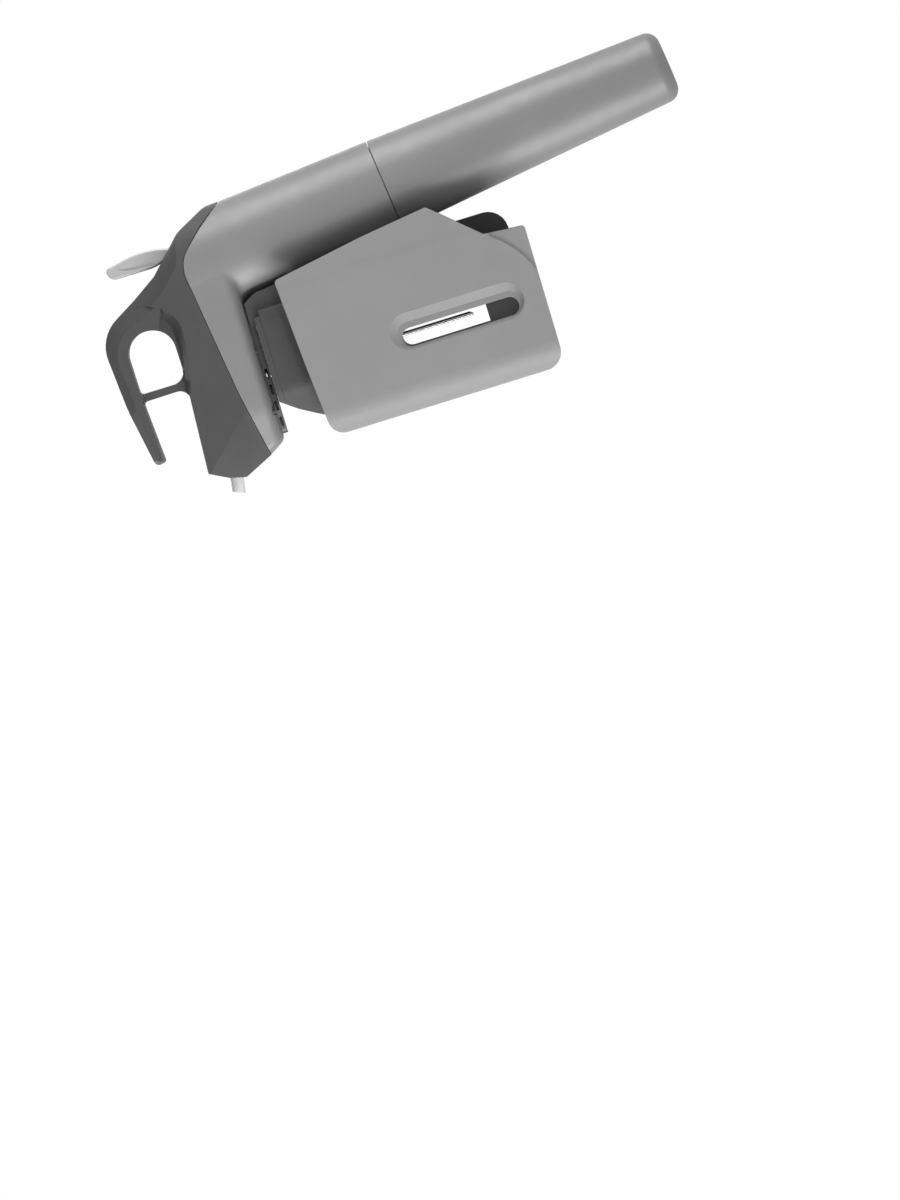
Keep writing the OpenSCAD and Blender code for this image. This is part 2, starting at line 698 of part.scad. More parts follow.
module regulator_spring() color(steel) in_tube()
    coil(5.3, 0.7, piston_z + piston_t + 0.1, barrel_top - cap_plug - 0.1, 4.5);

module retaining_ring() color(steel) in_tube() difference() {
    rod(ring_out_r, flange_top + fit, flange_top + fit + ring_t);
    rod(ring_in_r, 0, 30);
    block([0, -2.5, 0], [30, 2.5, 30]);
}

module piercing_pin() color(steel) in_tube() difference() {
    union() {
        translate([0, 0, pin_tip]) cylinder(r1 = 0.25, r2 = pin_r, h = 2);
        rod(pin_r, pin_tip + 2, pin_root);
    }
}

module capsule_seal() color(rubber) in_tube() difference() {
    rod(capsule_seal_r, -collar_len - seal_out, -collar_len - seal_out + seal_h);
    rod(pierced_r + 0.1, -30, 0);
}

// ---- head: slide post ----

module slide_post() color(charcoal) difference() {
    union() {
        block([post_back_x, -post_w / 2, foot_z + stop_h], [post_front_x, post_w / 2, floor_z]);
        block([post_back_x - post_flange_reach, -flange_w / 2, floor_z],
            [post_front_x + post_flange_reach, flange_w / 2, floor_z + post_flange_t]);
    }
    both_sides() translate([post_x, post_screw_y, 0]) rod(screw_r + fit, floor_z - 1, floor_z + 4);
    translate([post_x, 0, 0]) rod(1.5 + fit, foot_z, foot_z + stop_h + 10);
}

module post_foot() color(charcoal) difference() {
    block([post_back_x - stop_side, -stop_w / 2, foot_z], [post_front_x + stop_side, stop_w / 2, foot_z + stop_h]);
    translate([post_x, 0, 0]) {
        rod(1.5 + fit, foot_z - 1, foot_z + stop_h + 1);
        rod(2.7 + fit, foot_z - 1, foot_z + 2);
    }
}

module foot_screw() color(steel) translate([post_x, 0, 0]) {
    rod(2.7, foot_z + 0.2, foot_z + 2 - fit);
    rod(1.5, foot_z + 1, foot_z + stop_h + 9);
}

module post_screws() color(steel) both_sides() translate([post_x, post_screw_y, 0]) {
    rod(screw_head_r, under_z, under_z + screw_head_t - fit);
    rod(screw_r, under_z, floor_z + 3.8);
}

// ---- base ----

module hood(inset) intersection() {
    side(closed(shrink(hood_side, inset)), big);
    plan(closed(shrink(hood_plan, inset)), -30, 30);
}

module hinge_lug(span) both_sides() {
    translate([hinge_x, hinge_y, 0]) rod(barrel_out_r, span[0], span[1]);
    block([hinge_x - barrel_out_r, sleeve_w / 2 - 1, span[0]], [hinge_x + barrel_out_r, hinge_y, span[1]]);
}

module base_frame() color(graphite) difference() {
    union() {
        difference() {
            hood(0);
            block([-50, -50, base_cap_z], [50, 50, 30]);
            rod(lip_r, -lip_h - 1, lip_pad_t);
            difference() {
                intersection() {
                    hood(hood_wall);
                    block([sleeve_front_x + 1, -50, hood_floor_z], [50, 50, 30]);
                }
                both_sides() translate([cap_screw_xy[0], cap_screw_xy[1], 0]) rod(boss_r + 0.4, 0, 30);
            }
        }
        side(closed(sleeve_side), sleeve_w);
        hinge_lug(upper_lug);
        hinge_lug(lower_lug);
    }
    rod(guide_r + fit, 0, 10);
    both_sides() translate([cap_screw_xy[0], cap_screw_xy[1], 0]) rod(screw_r + fit, hood_floor_z + 2, 30);
    block([bush_back_x, -bush_w / 2, bush_z], [bush_front_x, bush_w / 2, 30]);
    block([well_back_x, -well_w / 2, well_z], [well_front_x, well_w / 2, bush_z + eps]);
    both_sides() translate([hinge_x, hinge_y, 0]) rod(hinge_r + fit, lower_lug[0] + 1, 30);
}

module base_cap() color(graphite) difference() {
    intersection() {
        hood(0);
        block([-50, -50, base_cap_z], [50, 50, 30]);
    }
    block([-60, -sleeve_w / 2 - fit, 0], [sleeve_front_x + fit, sleeve_w / 2 + fit, 30]);
    rod(guide_r + fit, 0, 30);
    both_sides() translate([cap_screw_xy[0], cap_screw_xy[1], 0]) {
        rod(screw_r + fit, 0, 30);
        rod(screw_head_r + fit, hood_top_z - screw_head_t, 30);
    }
    block([hinge_x - 10, -50, 0], [hinge_x + barrel_out_r, 50, 30]);
}

module cap_screws() color(steel) both_sides() translate([cap_screw_xy[0], cap_screw_xy[1], 0]) {
    rod(screw_head_r, hood_top_z - screw_head_t + fit, hood_top_z);
    rod(screw_r, hood_floor_z + 3, hood_top_z - screw_head_t + 1);
}

module slide_bush() color(clear_white) difference() {
    block([bush_back_x, -bush_w / 2, bush_z], [bush_front_x, bush_w / 2, hood_top_z - 0.2]);
    block([post_back_x - slide_play, -post_w / 2 - slide_play, -50],
        [post_front_x + slide_play, post_w / 2 + slide_play, 50]);
}

module post_bumper() color(rubber)
    block([well_back_x + 0.1, -well_w / 2 + 0.1, well_z], [well_front_x - 0.1, well_w / 2 - 0.1, foot_z - gap]);

module needle_guide() color(clear_white) difference() {
    union() {
        rod(guide_r, lip_pad_t, hood_top_z - 0.2);
        rod(guide_flange_r, hood_floor_z, hood_floor_z + 1.5);
    }
    rod(needle_r + guide_play, -1, 30);
}

module lip_pad() color(rubber) difference() {
    rod(lip_r - 0.1, 0, lip_pad_t);
    rod(guide_r + gap, -1, 5);
}

module hinge_pins() color(steel) both_sides() translate([hinge_x, hinge_y, 0])
    rod(hinge_r, lower_lug[0] + 1, upper_lug[1]);

module jaw_spring() color(steel) translate([hinge_x, hinge_y, 0])
    coil(hinge_r + gap + spring_wire_r, spring_wire_r, lower_barrel[1] + gap, upper_barrel[0] - gap, 12);

module jaw_spring_left() jaw_spring();
module jaw_spring_right() mirror([0, 1, 0]) jaw_spring();

// ---- jaws, each drawn on the +Y side ----

module stadium(w, l, y0, y1) translate([window_x, y0, window_z]) {
    for (s = [-1, 1]) translate([0, 0, s * (l - w) / 2]) cross_rod(w / 2, 0, y1 - y0);
    block([-w / 2, 0, -(l - w) / 2], [w / 2, y1 - y0, (l - w) / 2]);
}

module jaw_shell() color(satin) difference() {
    intersection() {
        plan(closed(jaw_plan), -100, 20);
        side(closed(jaw_side), big);
    }
    stadium(window_w, window_len, 10, 40);
    stadium(window_w + 2 * dish_side, window_len + 2 * dish_end, jaw_y - dish_t, 40);
    translate([-26, 0, -84.6]) cross_rod(14, jaw_y - corner_step_t, 60);
    for (p = jaw_screw_xz) translate([p.x, 0, p.y]) cross_rod(screw_r + fit, 10, jaw_y - 1);
}

module jaw_liner() color(charcoal) difference() {
    union() {
        intersection() {
            block([liner_x[0], liner_in_y, liner_z[0]], [liner_x[1], jaw_in_y, liner_z[1]]);
            side(closed(shrink(jaw_side, 1.5)), big);
        }
        for (s = [upper_barrel, lower_barrel]) {
            translate([hinge_x, hinge_y, 0]) rod(barrel_out_r, s[0], s[1]);
            block([hinge_x - barrel_out_r, hinge_y, s[0]], [hinge_x + barrel_out_r, liner_in_y, s[1]]);
        }
        for (s = [upper_pad, lower_pad])
            block([-pad_w / 2, pad_back_y, s[0]], [pad_w / 2, jaw_in_y, s[1]]);
    }
    translate([hinge_x, hinge_y, 0]) rod(hinge_r + hinge_fit, -90, 20);
    block([window_x - window_w / 2 - 1, 0, lower_pad[1] + 1], [window_x + window_w / 2 + 1, 60, upper_pad[0] - 1]);
    for (p = jaw_screw_xz) translate([p.x, 0, p.y]) cross_rod(screw_r + fit, 10, 40);
}

module grip_pads() color(rubber) difference() {
    for (s = [upper_pad, lower_pad]) block([-pad_w / 2, pad_edge_y, s[0]], [pad_w / 2, pad_back_y, s[1]]);
    rod(neck_r, -100, 20);
}

module jaw_screws() color(steel) for (p = jaw_screw_xz) translate([p.x, 0, p.y]) {
    cross_rod(screw_r, liner_in_y - 0.5, jaw_y - 1.1);
    cross_rod(screw_r + 1.1, liner_in_y - 1.5, liner_in_y);
}

module jaw_shell_left() jaw_shell();
module jaw_shell_right() mirror([0, 1, 0]) jaw_shell();
module jaw_liner_left() jaw_liner();
module jaw_liner_right() mirror([0, 1, 0]) jaw_liner();
module grip_pads_left() grip_pads();
module grip_pads_right() mirror([0, 1, 0]) grip_pads();
module jaw_screws_left() jaw_screws();
module jaw_screws_right() mirror([0, 1, 0]) jaw_screws();

// ---- gas capsule and its cup ----

module gas_capsule() color(steel) in_tube() difference() {
    capsule_form(0);
    capsule_form(1.2);
    rod(pierced_r, capsule_top - 3, 0);
}

module capsule_form(t) {
    r = capsule_d / 2;
    shoulder = capsule_top - capsule_neck_len;
    rotate_extrude() polygon(concat([[0, capsule_top - t * 1.2], [capsule_neck_r - t, capsule_top - t * 1.2],
        [capsule_neck_r - t, shoulder]],
        [for (k = [1:8]) [capsule_neck_r - t + (r - capsule_neck_r) * sin(90 * k / 8),
            shoulder - 9 * (1 - cos(90 * k / 8))]],
        [for (k = [0:10]) [(r - t) * cos(9 * k), capsule_bottom + r - (r - t) * sin(9 * k)]]));
}

module capsule_cup() color(satin) in_tube() difference() {
    rotate_extrude() polygon(concat([[0, -gap / 2], [cup_top_r, -gap / 2]],
        [for (k = [0:8]) [cup_tip_r - cup_edge_r + cup_edge_r * cos(90 * k / 8),
            -cup_len + cup_edge_r - cup_edge_r * sin(90 * k / 8)]], [[0, -cup_len]]));
    rod(cup_thread_r, -collar_len - 1, 1);
    translate([0, 0, -cup_len + cup_floor_t + cup_cone_h]) cylinder(r = cup_bore_r, h = cup_len);
    translate([0, 0, -cup_len + cup_floor_t]) cylinder(r1 = cup_floor_r, r2 = cup_bore_r, h = cup_cone_h + eps);
}

module cup_pad() color(rubber) in_tube()
    rod(cup_pad_r, -cup_len + cup_floor_t, -cup_len + cup_floor_t + cup_pad_t);

head_shell();
handle_cover();
cover_screws();
trigger();
trigger_pin();
valve_body();
valve_stem();
valve_spring();
feed_pipe();
gas_pipe();
manifold();
needle_hub();
needle();
needle_seal();
spout();
spout_seal();
regulator_body();
regulator_cap();
regulator_piston();
regulator_spring();
retaining_ring();
piercing_pin();
capsule_seal();
slide_post();
post_foot();
foot_screw();
post_screws();
base_frame();
base_cap();
cap_screws();
slide_bush();
post_bumper();
needle_guide();
lip_pad();
hinge_pins();
jaw_spring_left();
jaw_spring_right();
jaw_shell_left();
jaw_shell_right();
jaw_liner_left();
jaw_liner_right();
grip_pads_left();
grip_pads_right();
jaw_screws_left();
jaw_screws_right();
gas_capsule();
capsule_cup();
cup_pad();
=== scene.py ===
import json
import math
import bpy
from mathutils import Matrix, Vector

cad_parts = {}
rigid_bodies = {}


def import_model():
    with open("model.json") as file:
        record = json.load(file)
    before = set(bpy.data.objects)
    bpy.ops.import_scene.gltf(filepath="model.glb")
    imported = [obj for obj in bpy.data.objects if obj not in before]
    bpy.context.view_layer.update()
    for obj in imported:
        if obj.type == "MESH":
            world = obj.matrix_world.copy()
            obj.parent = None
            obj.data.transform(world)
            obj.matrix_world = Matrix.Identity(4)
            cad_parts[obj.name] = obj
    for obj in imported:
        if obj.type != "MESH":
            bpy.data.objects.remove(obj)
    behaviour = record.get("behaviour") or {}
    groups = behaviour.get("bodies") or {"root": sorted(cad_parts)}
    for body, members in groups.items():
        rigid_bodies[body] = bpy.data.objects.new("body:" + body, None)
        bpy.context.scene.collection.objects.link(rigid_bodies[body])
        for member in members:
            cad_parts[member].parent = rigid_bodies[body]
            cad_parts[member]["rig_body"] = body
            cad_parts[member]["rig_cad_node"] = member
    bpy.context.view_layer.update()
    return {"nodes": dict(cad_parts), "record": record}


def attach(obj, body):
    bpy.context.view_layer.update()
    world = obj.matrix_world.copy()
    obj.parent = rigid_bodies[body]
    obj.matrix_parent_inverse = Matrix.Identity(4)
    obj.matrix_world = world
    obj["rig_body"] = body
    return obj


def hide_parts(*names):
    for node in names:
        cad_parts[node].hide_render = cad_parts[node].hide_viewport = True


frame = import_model()
cad = frame["nodes"]
mm = 0.001
weldDistance = 0.002 * mm


# small tools for modelling

def deselectAll():
    if bpy.context.object and bpy.context.object.mode != "OBJECT":
        bpy.ops.object.mode_set(mode="OBJECT")
    bpy.ops.object.select_all(action="DESELECT")


def only(obj):
    deselectAll()
    obj.select_set(True)
    bpy.context.view_layer.objects.active = obj


def editAll(obj):
    only(obj)
    bpy.ops.object.mode_set(mode="EDIT")
    bpy.ops.mesh.select_all(action="SELECT")


def leaveEdit():
    bpy.ops.object.mode_set(mode="OBJECT")


def faceOutwards(obj):
    editAll(obj)
    bpy.ops.mesh.normals_make_consistent(inside=False)
    leaveEdit()


# doubled points are merged, and faces that are flat to each other within the angle are joined
def tidyMesh(obj, flatAngle):
    editAll(obj)
    bpy.ops.mesh.remove_doubles(threshold=weldDistance)
    bpy.ops.mesh.dissolve_limited(angle_limit=math.radians(flatAngle))
    bpy.ops.mesh.select_all(action="SELECT")
    bpy.ops.mesh.normals_make_consistent(inside=False)
    leaveEdit()


# points on a circle at angles in degrees
def arcPoints(u, v, radius, angles):
    return [(u + radius * math.cos(math.radians(a)), v + radius * math.sin(math.radians(a))) for a in angles]


# corners are [along, across, radius]; steps is the number of edges in each arc
def rounded(corners, steps=8):
    points = []
    count = len(corners)
    for i, (u, v, radius) in enumerate(corners):
        here = Vector((u, v))
        if radius == 0:
            points.append((u, v))
            continue
        back = (Vector(corners[i - 1][:2]) - here).normalized()
        ahead = (Vector(corners[(i + 1) % count][:2]) - here).normalized()
        half = math.acos(max(-1, min(1, back.dot(ahead)))) / 2
        middle = here + (back + ahead).normalized() * (radius / math.sin(half))
        first = here + back * (radius / math.tan(half)) - middle
        last = here + ahead * (radius / math.tan(half)) - middle
        start = math.atan2(first.y, first.x)
        turn = (math.atan2(last.y, last.x) - start + math.pi) % (2 * math.pi) - math.pi
        for k in range(steps + 1):
            angle = start + turn * k / steps
            points.append((middle.x + radius * math.cos(angle), middle.y + radius * math.sin(angle)))
    return points


# the same corners, moved in by a wall; drawn counterclockwise
def shrunk(corners, wall, leastRadius=0.2):
    made = []
    count = len(corners)
    for i, (u, v, radius) in enumerate(corners):
        here = Vector((u, v))
        ahead = (Vector(corners[(i + 1) % count][:2]) - here).normalized()
        back = (here - Vector(corners[i - 1][:2])).normalized()
        leftOf = Vector((-back.y, back.x))
        inward = (leftOf + Vector((-ahead.y, ahead.x))).normalized()
        at = here + inward * (wall / inward.dot(leftOf))
        turn = back.x * ahead.y - back.y * ahead.x
        if radius > 0:
            radius = max(radius - wall, leastRadius) if turn > 0 else radius + wall
        made.append([at.x, at.y, radius])
    return made


# an outline traced with a circle's points, pulled through by an extrusion
def slab(name, outline, low, high, plane="XZ"):
    deselectAll()
    bpy.ops.mesh.primitive_circle_add(vertices=len(outline), fill_type="NGON")
    obj = bpy.context.object
    obj.name = name
    for vertex, (u, v) in zip(obj.data.vertices, outline):
        vertex.co = Vector((u, low, v) if plane == "XZ" else (u, v, low)) * mm
    editAll(obj)
    pull = (0, (high - low) * mm, 0) if plane == "XZ" else (0, 0, (high - low) * mm)
    bpy.ops.mesh.extrude_region_move(TRANSFORM_OT_translate={"value": pull})
    leaveEdit()
    faceOutwards(obj)
    return obj


# a closed loft through rings of points, each extruded from the one before
def loft(name, rings):
    deselectAll()
    count = len(rings[0])
    bpy.ops.mesh.primitive_circle_add(vertices=count, fill_type="NGON")
    obj = bpy.context.object
    obj.name = name
    editAll(obj)
    for _ in rings[1:]:
        bpy.ops.mesh.extrude_region_move(TRANSFORM_OT_translate={"value": (0, mm, 0)})
    leaveEdit()
    for row, points in enumerate(rings):
        for k, point in enumerate(points):
            obj.data.vertices[row * count + k].co = Vector(point) * mm
    faceOutwards(obj)
    return obj


# a slab about the XZ plane that tapers upwards and whose faces end in a wide chamfer
def chamferedSlab(name, outline, faceOutline, halfAt, edgeHalfAt):
    middle = [[(u, side * edgeHalfAt(v), v) for u, v in outline] for side in (-1, 1)]
    faces = [[(u, side * halfAt(v), v) for u, v in faceOutline] for side in (-1, 1)]
    return loft(name, [faces[0], middle[0], middle[1], faces[1]])


def rod(name, radius, start, end, endRadius=None, sides=64):
    deselectAll()
    start, end = Vector(start) * mm, Vector(end) * mm
    bpy.ops.mesh.primitive_cone_add(vertices=sides, radius1=radius * mm, depth=(end - start).length,
                                    radius2=(radius if endRadius is None else endRadius) * mm)
    obj = bpy.context.object
    obj.name = name
    turn = (end - start).to_track_quat("Z", "Y").to_matrix().to_4x4()
    obj.data.transform(Matrix.Translation((start + end) / 2) @ turn)
    return obj


def block(name, low, high):
    deselectAll()
    bpy.ops.mesh.primitive_cube_add(size=1)
    obj = bpy.context.object
    obj.name = name
    low, high = Vector(low) * mm, Vector(high) * mm
    for vertex in obj.data.vertices:
        vertex.co = Vector([low[i] if vertex.co[i] < 0 else high[i] for i in range(3)])
    return obj


# profile points [radius, height] spun about Z; an edge that lies on the axis is taken out first
def turned(name, profile, steps):
    deselectAll()
    bpy.ops.mesh.primitive_circle_add(vertices=len(profile), fill_type="NOTHING")
    obj = bpy.context.object
    obj.name = name
    for vertex, (radius, height) in zip(obj.data.vertices, profile):
        vertex.co = Vector((radius, 0, height)) * mm
    onAxis = {i for i, (radius, _) in enumerate(profile) if radius == 0}
    for edge in obj.data.edges:
        edge.select = set(edge.vertices) <= onAxis
    for vertex in obj.data.vertices:
        vertex.select = False
    hasAxisEdge = any(edge.select for edge in obj.data.edges)
    only(obj)
    bpy.context.tool_settings.mesh_select_mode = (False, True, False)
    bpy.ops.object.mode_set(mode="EDIT")
    if hasAxisEdge:
        bpy.ops.mesh.delete(type="EDGE")
    bpy.context.tool_settings.mesh_select_mode = (True, False, False)
    bpy.ops.mesh.select_all(action="SELECT")
    bpy.ops.mesh.spin(steps=steps, angle=2 * math.pi, center=(0, 0, 0), axis=(0, 0, 1))
    bpy.ops.mesh.select_all(action="SELECT")
    bpy.ops.mesh.remove_doubles(threshold=weldDistance)
    bpy.ops.mesh.normals_make_consistent(inside=False)
    leaveEdit()
    return obj


def combine(body, other, how):
    only(body)
    change = body.modifiers.new("combine", "BOOLEAN")
    change.operation = how
    change.object = other
    change.solver = "EXACT"
    bpy.ops.object.modifier_apply(modifier=change.name)
    bpy.data.objects.remove(other)
    return body


def cut(body, *others):
    for other in others:
        combine(body, other, "DIFFERENCE")
    return body


def sliceOff(body, point, normal):
    editAll(body)
    bpy.ops.mesh.bisect(plane_co=Vector(point) * mm, plane_no=Vector(normal).normalized(),
                        use_fill=True, clear_outer=True)
    leaveEdit()
    return body


def copyOf(obj, name):
    only(obj)
    bpy.ops.object.duplicate()
    new = bpy.context.object
    new.name = name
    return new


# moved to the other side of the XZ plane, as in a mirror
def flipped(obj):
    obj.data.transform(Matrix.Scale(-1, 4, (0, 1, 0)))
    faceOutwards(obj)
    return obj


def softenEdges(obj, width, segments=2, angle=30):
    only(obj)
    edge = obj.modifiers.new("edge", "BEVEL")
    edge.width = width * mm
    edge.segments = segments
    edge.limit_method = "ANGLE"
    edge.angle_limit = math.radians(angle)
    edge.use_clamp_overlap = True
    edge.miter_outer = "MITER_ARC"
    bpy.ops.object.modifier_apply(modifier=edge.name)
    return obj


def smoothed(obj, groupName, repeat):
    only(obj)
    change = obj.modifiers.new("smooth", "SMOOTH")
    change.factor = 0.5
    change.iterations = repeat
    if groupName:
        change.vertex_group = groupName
    bpy.ops.object.modifier_apply(modifier=change.name)


# smooth shading in which broad faces stay flat beside their bevels
def shade(obj, angle):
    only(obj)
    bpy.ops.object.shade_smooth_by_angle(angle=math.radians(angle))
    weigh = obj.modifiers.new("weigh", "WEIGHTED_NORMAL")
    weigh.keep_sharp = True
    bpy.ops.object.modifier_apply(modifier=weigh.name)
    return obj


# a CAD node's own shape, merged into one clean mesh
def dressed(node, name):
    new = copyOf(cad[node], name)
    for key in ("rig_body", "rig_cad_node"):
        if key in new:
            del new[key]
    new.parent = None
    new.data.materials.clear()
    ownNormals = new.data.attributes.get("custom_normal")
    if ownNormals is not None:
        new.data.attributes.remove(ownNormals)
    tidyMesh(new, 0.2)
    return new


def finished(obj, material, body, slotName, *replaced):
    obj.data.materials.clear()
    obj.data.materials.append(material)
    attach(obj, body)
    if replaced:
        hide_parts(*replaced)
    return obj


# finishes

usualNoise = (0.28, 0.72)  # where most of a noise's values lie
noiseRoughness = 0.6
glossScale = 160
milkyReach = 3 * mm


def setInputs(node, values):
    for name, value in values.items():
        node.inputs[name].default_value = value


def mapRange(tree, value, fromLow, fromHigh, toLow, toHigh):
    node = tree.nodes.new("ShaderNodeMapRange")
    setInputs(node, {"From Min": fromLow, "From Max": fromHigh, "To Min": toLow, "To Max": toHigh})
    tree.links.new(value, node.inputs["Value"])
    return node.outputs["Result"]


def noise(tree, place, scale, detail):
    node = tree.nodes.new("ShaderNodeTexNoise")
    setInputs(node, {"Scale": scale, "Detail": detail, "Roughness": noiseRoughness})
    tree.links.new(place, node.inputs["Vector"])
    return node.outputs["Fac"]


# painted shade: the colour darkens downwards, from the first height to the second, to the share that comes
# last
def withShadePainted(tree, colour, place, paintedShade):
    high, low, darkest = paintedShade
    parts = tree.nodes.new("ShaderNodeSeparateXYZ")
    tree.links.new(place, parts.inputs["Vector"])
    darker = tree.nodes.new("ShaderNodeVectorMath")
    darker.operation = "SCALE"
    tree.links.new(colour, darker.inputs[0])
    tree.links.new(mapRange(tree, parts.outputs["Z"], low, high, darkest, 1), darker.inputs["Scale"])
    return darker.outputs["Vector"]


# every finish has two tones that drift over the surface, a fine grain and an uneven gloss
def madeFinish(name, look):
    material = bpy.data.materials.new(name)
    material.use_nodes = True
    tree = material.node_tree
    shader = tree.nodes["Principled BSDF"]
    setInputs(shader, {"Metallic": look.get("metal", 0), "IOR": look.get("ior", 1.5),
                       "Specular IOR Level": look.get("specular", 0.5)})
    if "clear" in look:
        setInputs(shader, {"Transmission Weight": look["clear"], "Subsurface Weight": look["milky"],
                           "Subsurface Radius": (milkyReach, milkyReach, milkyReach)})
    place = tree.nodes.new("ShaderNodeTexCoord").outputs["Object"]
    stretch = tree.nodes.new("ShaderNodeMapping")
    setInputs(stretch, {"Scale": look.get("stretch", (1, 1, 1))})
    tree.links.new(place, stretch.inputs["Vector"])
    stretched = stretch.outputs["Vector"]

    drift = noise(tree, place, look.get("driftScale", 45), 3)
    grain = noise(tree, stretched, look["grainScale"], 2)
    gloss = noise(tree, stretched, glossScale, 4)

    mixed = tree.nodes.new("ShaderNodeMath")
    mixed.operation = "ADD"
    tree.links.new(mapRange(tree, drift, *usualNoise, 0, 0.6), mixed.inputs[0])
    tree.links.new(mapRange(tree, grain, *usualNoise, 0, 0.4), mixed.inputs[1])
    tones = tree.nodes.new("ShaderNodeMix")
    tones.data_type = "RGBA"
    setInputs(tones, {"A": (*look["dark"], 1), "B": (*look["light"], 1)})
    tree.links.new(mixed.outputs[0], tones.inputs["Factor"])
    colour = tones.outputs["Result"]
    # painted shade, darkening the colour downwards where the look asks for it
    if "paintedShade" in look:
        colour = withShadePainted(tree, colour, place, look["paintedShade"])
    tree.links.new(colour, shader.inputs["Base Color"])

    uneven = look.get("unevenness", 0.05)
    rough = mapRange(tree, gloss, *usualNoise, look["rough"] - uneven, look["rough"] + uneven)
    tree.links.new(rough, shader.inputs["Roughness"])
    bump = tree.nodes.new("ShaderNodeBump")
    setInputs(bump, {"Strength": look["bump"], "Distance": look["depth"] * mm})
    tree.links.new(grain, bump.inputs["Height"])
    tree.links.new(bump.outputs["Normal"], shader.inputs["Normal"])
    return material


# a screen's grey, from 0 to 255, as the shader's linear colour
def grey(level):
    linear = ((level / 255 + 0.055) / 1.055) ** 2.4
    return (linear, linear, linear)


looks = {
    "satinShell": dict(dark=grey(140), light=grey(148), rough=0.48, metal=0.25, driftScale=30,
                       grainScale=3200, bump=0.1, depth=0.012),
    "graphiteCover": dict(dark=grey(90), light=grey(98), rough=0.5, specular=0.2,
                          grainScale=2400, bump=0.16, depth=0.02),
    # painted shade: the base frame is darkened downwards, behind the jaws, where shade falls
    "hoodPlastic": dict(dark=grey(86), light=grey(94), rough=0.5, specular=0.2,
                        paintedShade=(-0.02, -0.055, 0.32), grainScale=2400, bump=0.16, depth=0.02),
    "jawPlastic": dict(dark=grey(156), light=grey(163), rough=0.55, grainScale=2800, bump=0.14, depth=0.018),
    "linerPlastic": dict(dark=grey(44), light=grey(52), rough=0.6, grainScale=1800, bump=0.25, depth=0.03),
    "softRubber": dict(dark=grey(24), light=grey(34), rough=0.75, grainScale=1500, bump=0.3, depth=0.04),
    "brushedSteel": dict(dark=grey(176), light=grey(206), rough=0.3, unevenness=0.08, metal=1,
                         stretch=(1, 1, 0.05), grainScale=2200, bump=0.3, depth=0.006),
    "polishedSteel": dict(dark=grey(206), light=grey(226), rough=0.14, metal=1,
                          stretch=(1, 1, 0.08), grainScale=1400, bump=0.12, depth=0.004),
    # partly painted shade: the plate's steel gets a dark tone that stands for the shade in the gap under the
    # arm
    "darkSteelAndShade": dict(dark=grey(70), light=grey(86), rough=0.42, unevenness=0.04, metal=0.7,
                      stretch=(1, 0.08, 1), grainScale=1600, bump=0.08, depth=0.004),
    "blackSteel": dict(dark=grey(38), light=grey(52), rough=0.5, unevenness=0.04, metal=0.5,
                       grainScale=1500, bump=0.1, depth=0.006),
    "castSilver": dict(dark=grey(190), light=grey(202), rough=0.4, metal=0.3,
                       grainScale=2600, bump=0.12, depth=0.015),
    "turnedBrass": dict(dark=(0.42, 0.29, 0.12), light=(0.55, 0.4, 0.18), rough=0.3, metal=1,
                        stretch=(0.1, 0.1, 1), grainScale=1800, bump=0.25, depth=0.006),
    "milkySpout": dict(dark=grey(248), light=grey(252), rough=0.35, clear=0.02, milky=0.08, ior=1.4,
                       grainScale=900, bump=0.06, depth=0.01),
    "bushPlastic": dict(dark=grey(222), light=grey(230), rough=0.45, grainScale=1600, bump=0.12, depth=0.02),
}
finishes = {name: madeFinish(name, look) for name, look in looks.items()}
nodeFinish = {"satin_shell": "satinShell", "jaw_plastic": "jawPlastic", "graphite": "graphiteCover",
              "charcoal": "linerPlastic", "rubber": "softRubber", "steel": "brushedSteel",
              "bright_steel": "polishedSteel", "trigger_silver": "castSilver", "brass": "turnedBrass",
              "clear_white": "bushPlastic"}
ownFinish = {"cover_screws": "blackSteel", "post_screws": "blackSteel", "cap_screws": "blackSteel",
             "spout": "milkySpout"}
for part in frame["record"]["subparts"]:
    for slot in cad[part["node"]].material_slots:
        slot.material = finishes[ownFinish.get(part["node"], nodeFinish[part["material_slot"]])]
print("finishes ready")


# the head shell: tube and arm in one casting

# the tube leans about its foot, and reaches its top radius at the rise
tube = dict(footX=-53, footZ=-41, lean=6.2, radius=17.2, topRadius=18.6, rise=59.3, seam=0.15)
tubeFrame = (Matrix.Translation((tube["footX"] * mm, 0, tube["footZ"] * mm))
             @ Matrix.Rotation(math.radians(tube["lean"]), 4, "Y"))


def upTube(height):
    return tuple(c / mm for c in tubeFrame @ Vector((0, 0, height * mm)))


def tubeCone(name, inset, low, high, sides=128):
    slope = (tube["topRadius"] - tube["radius"]) / tube["rise"]
    return rod(name, tube["radius"] + slope * low - inset, upTube(low), upTube(high),
               tube["radius"] + slope * high - inset, sides)


# the line between arm and cover, seen from the side
seamCorners = [[-65.3, 18, 0], [-58, 27.6, 40], [-47.8, 37.6, 12], [3, 31.2, 120], [27.4, 26.6, 0]]
seamLine = rounded(seamCorners, 10)

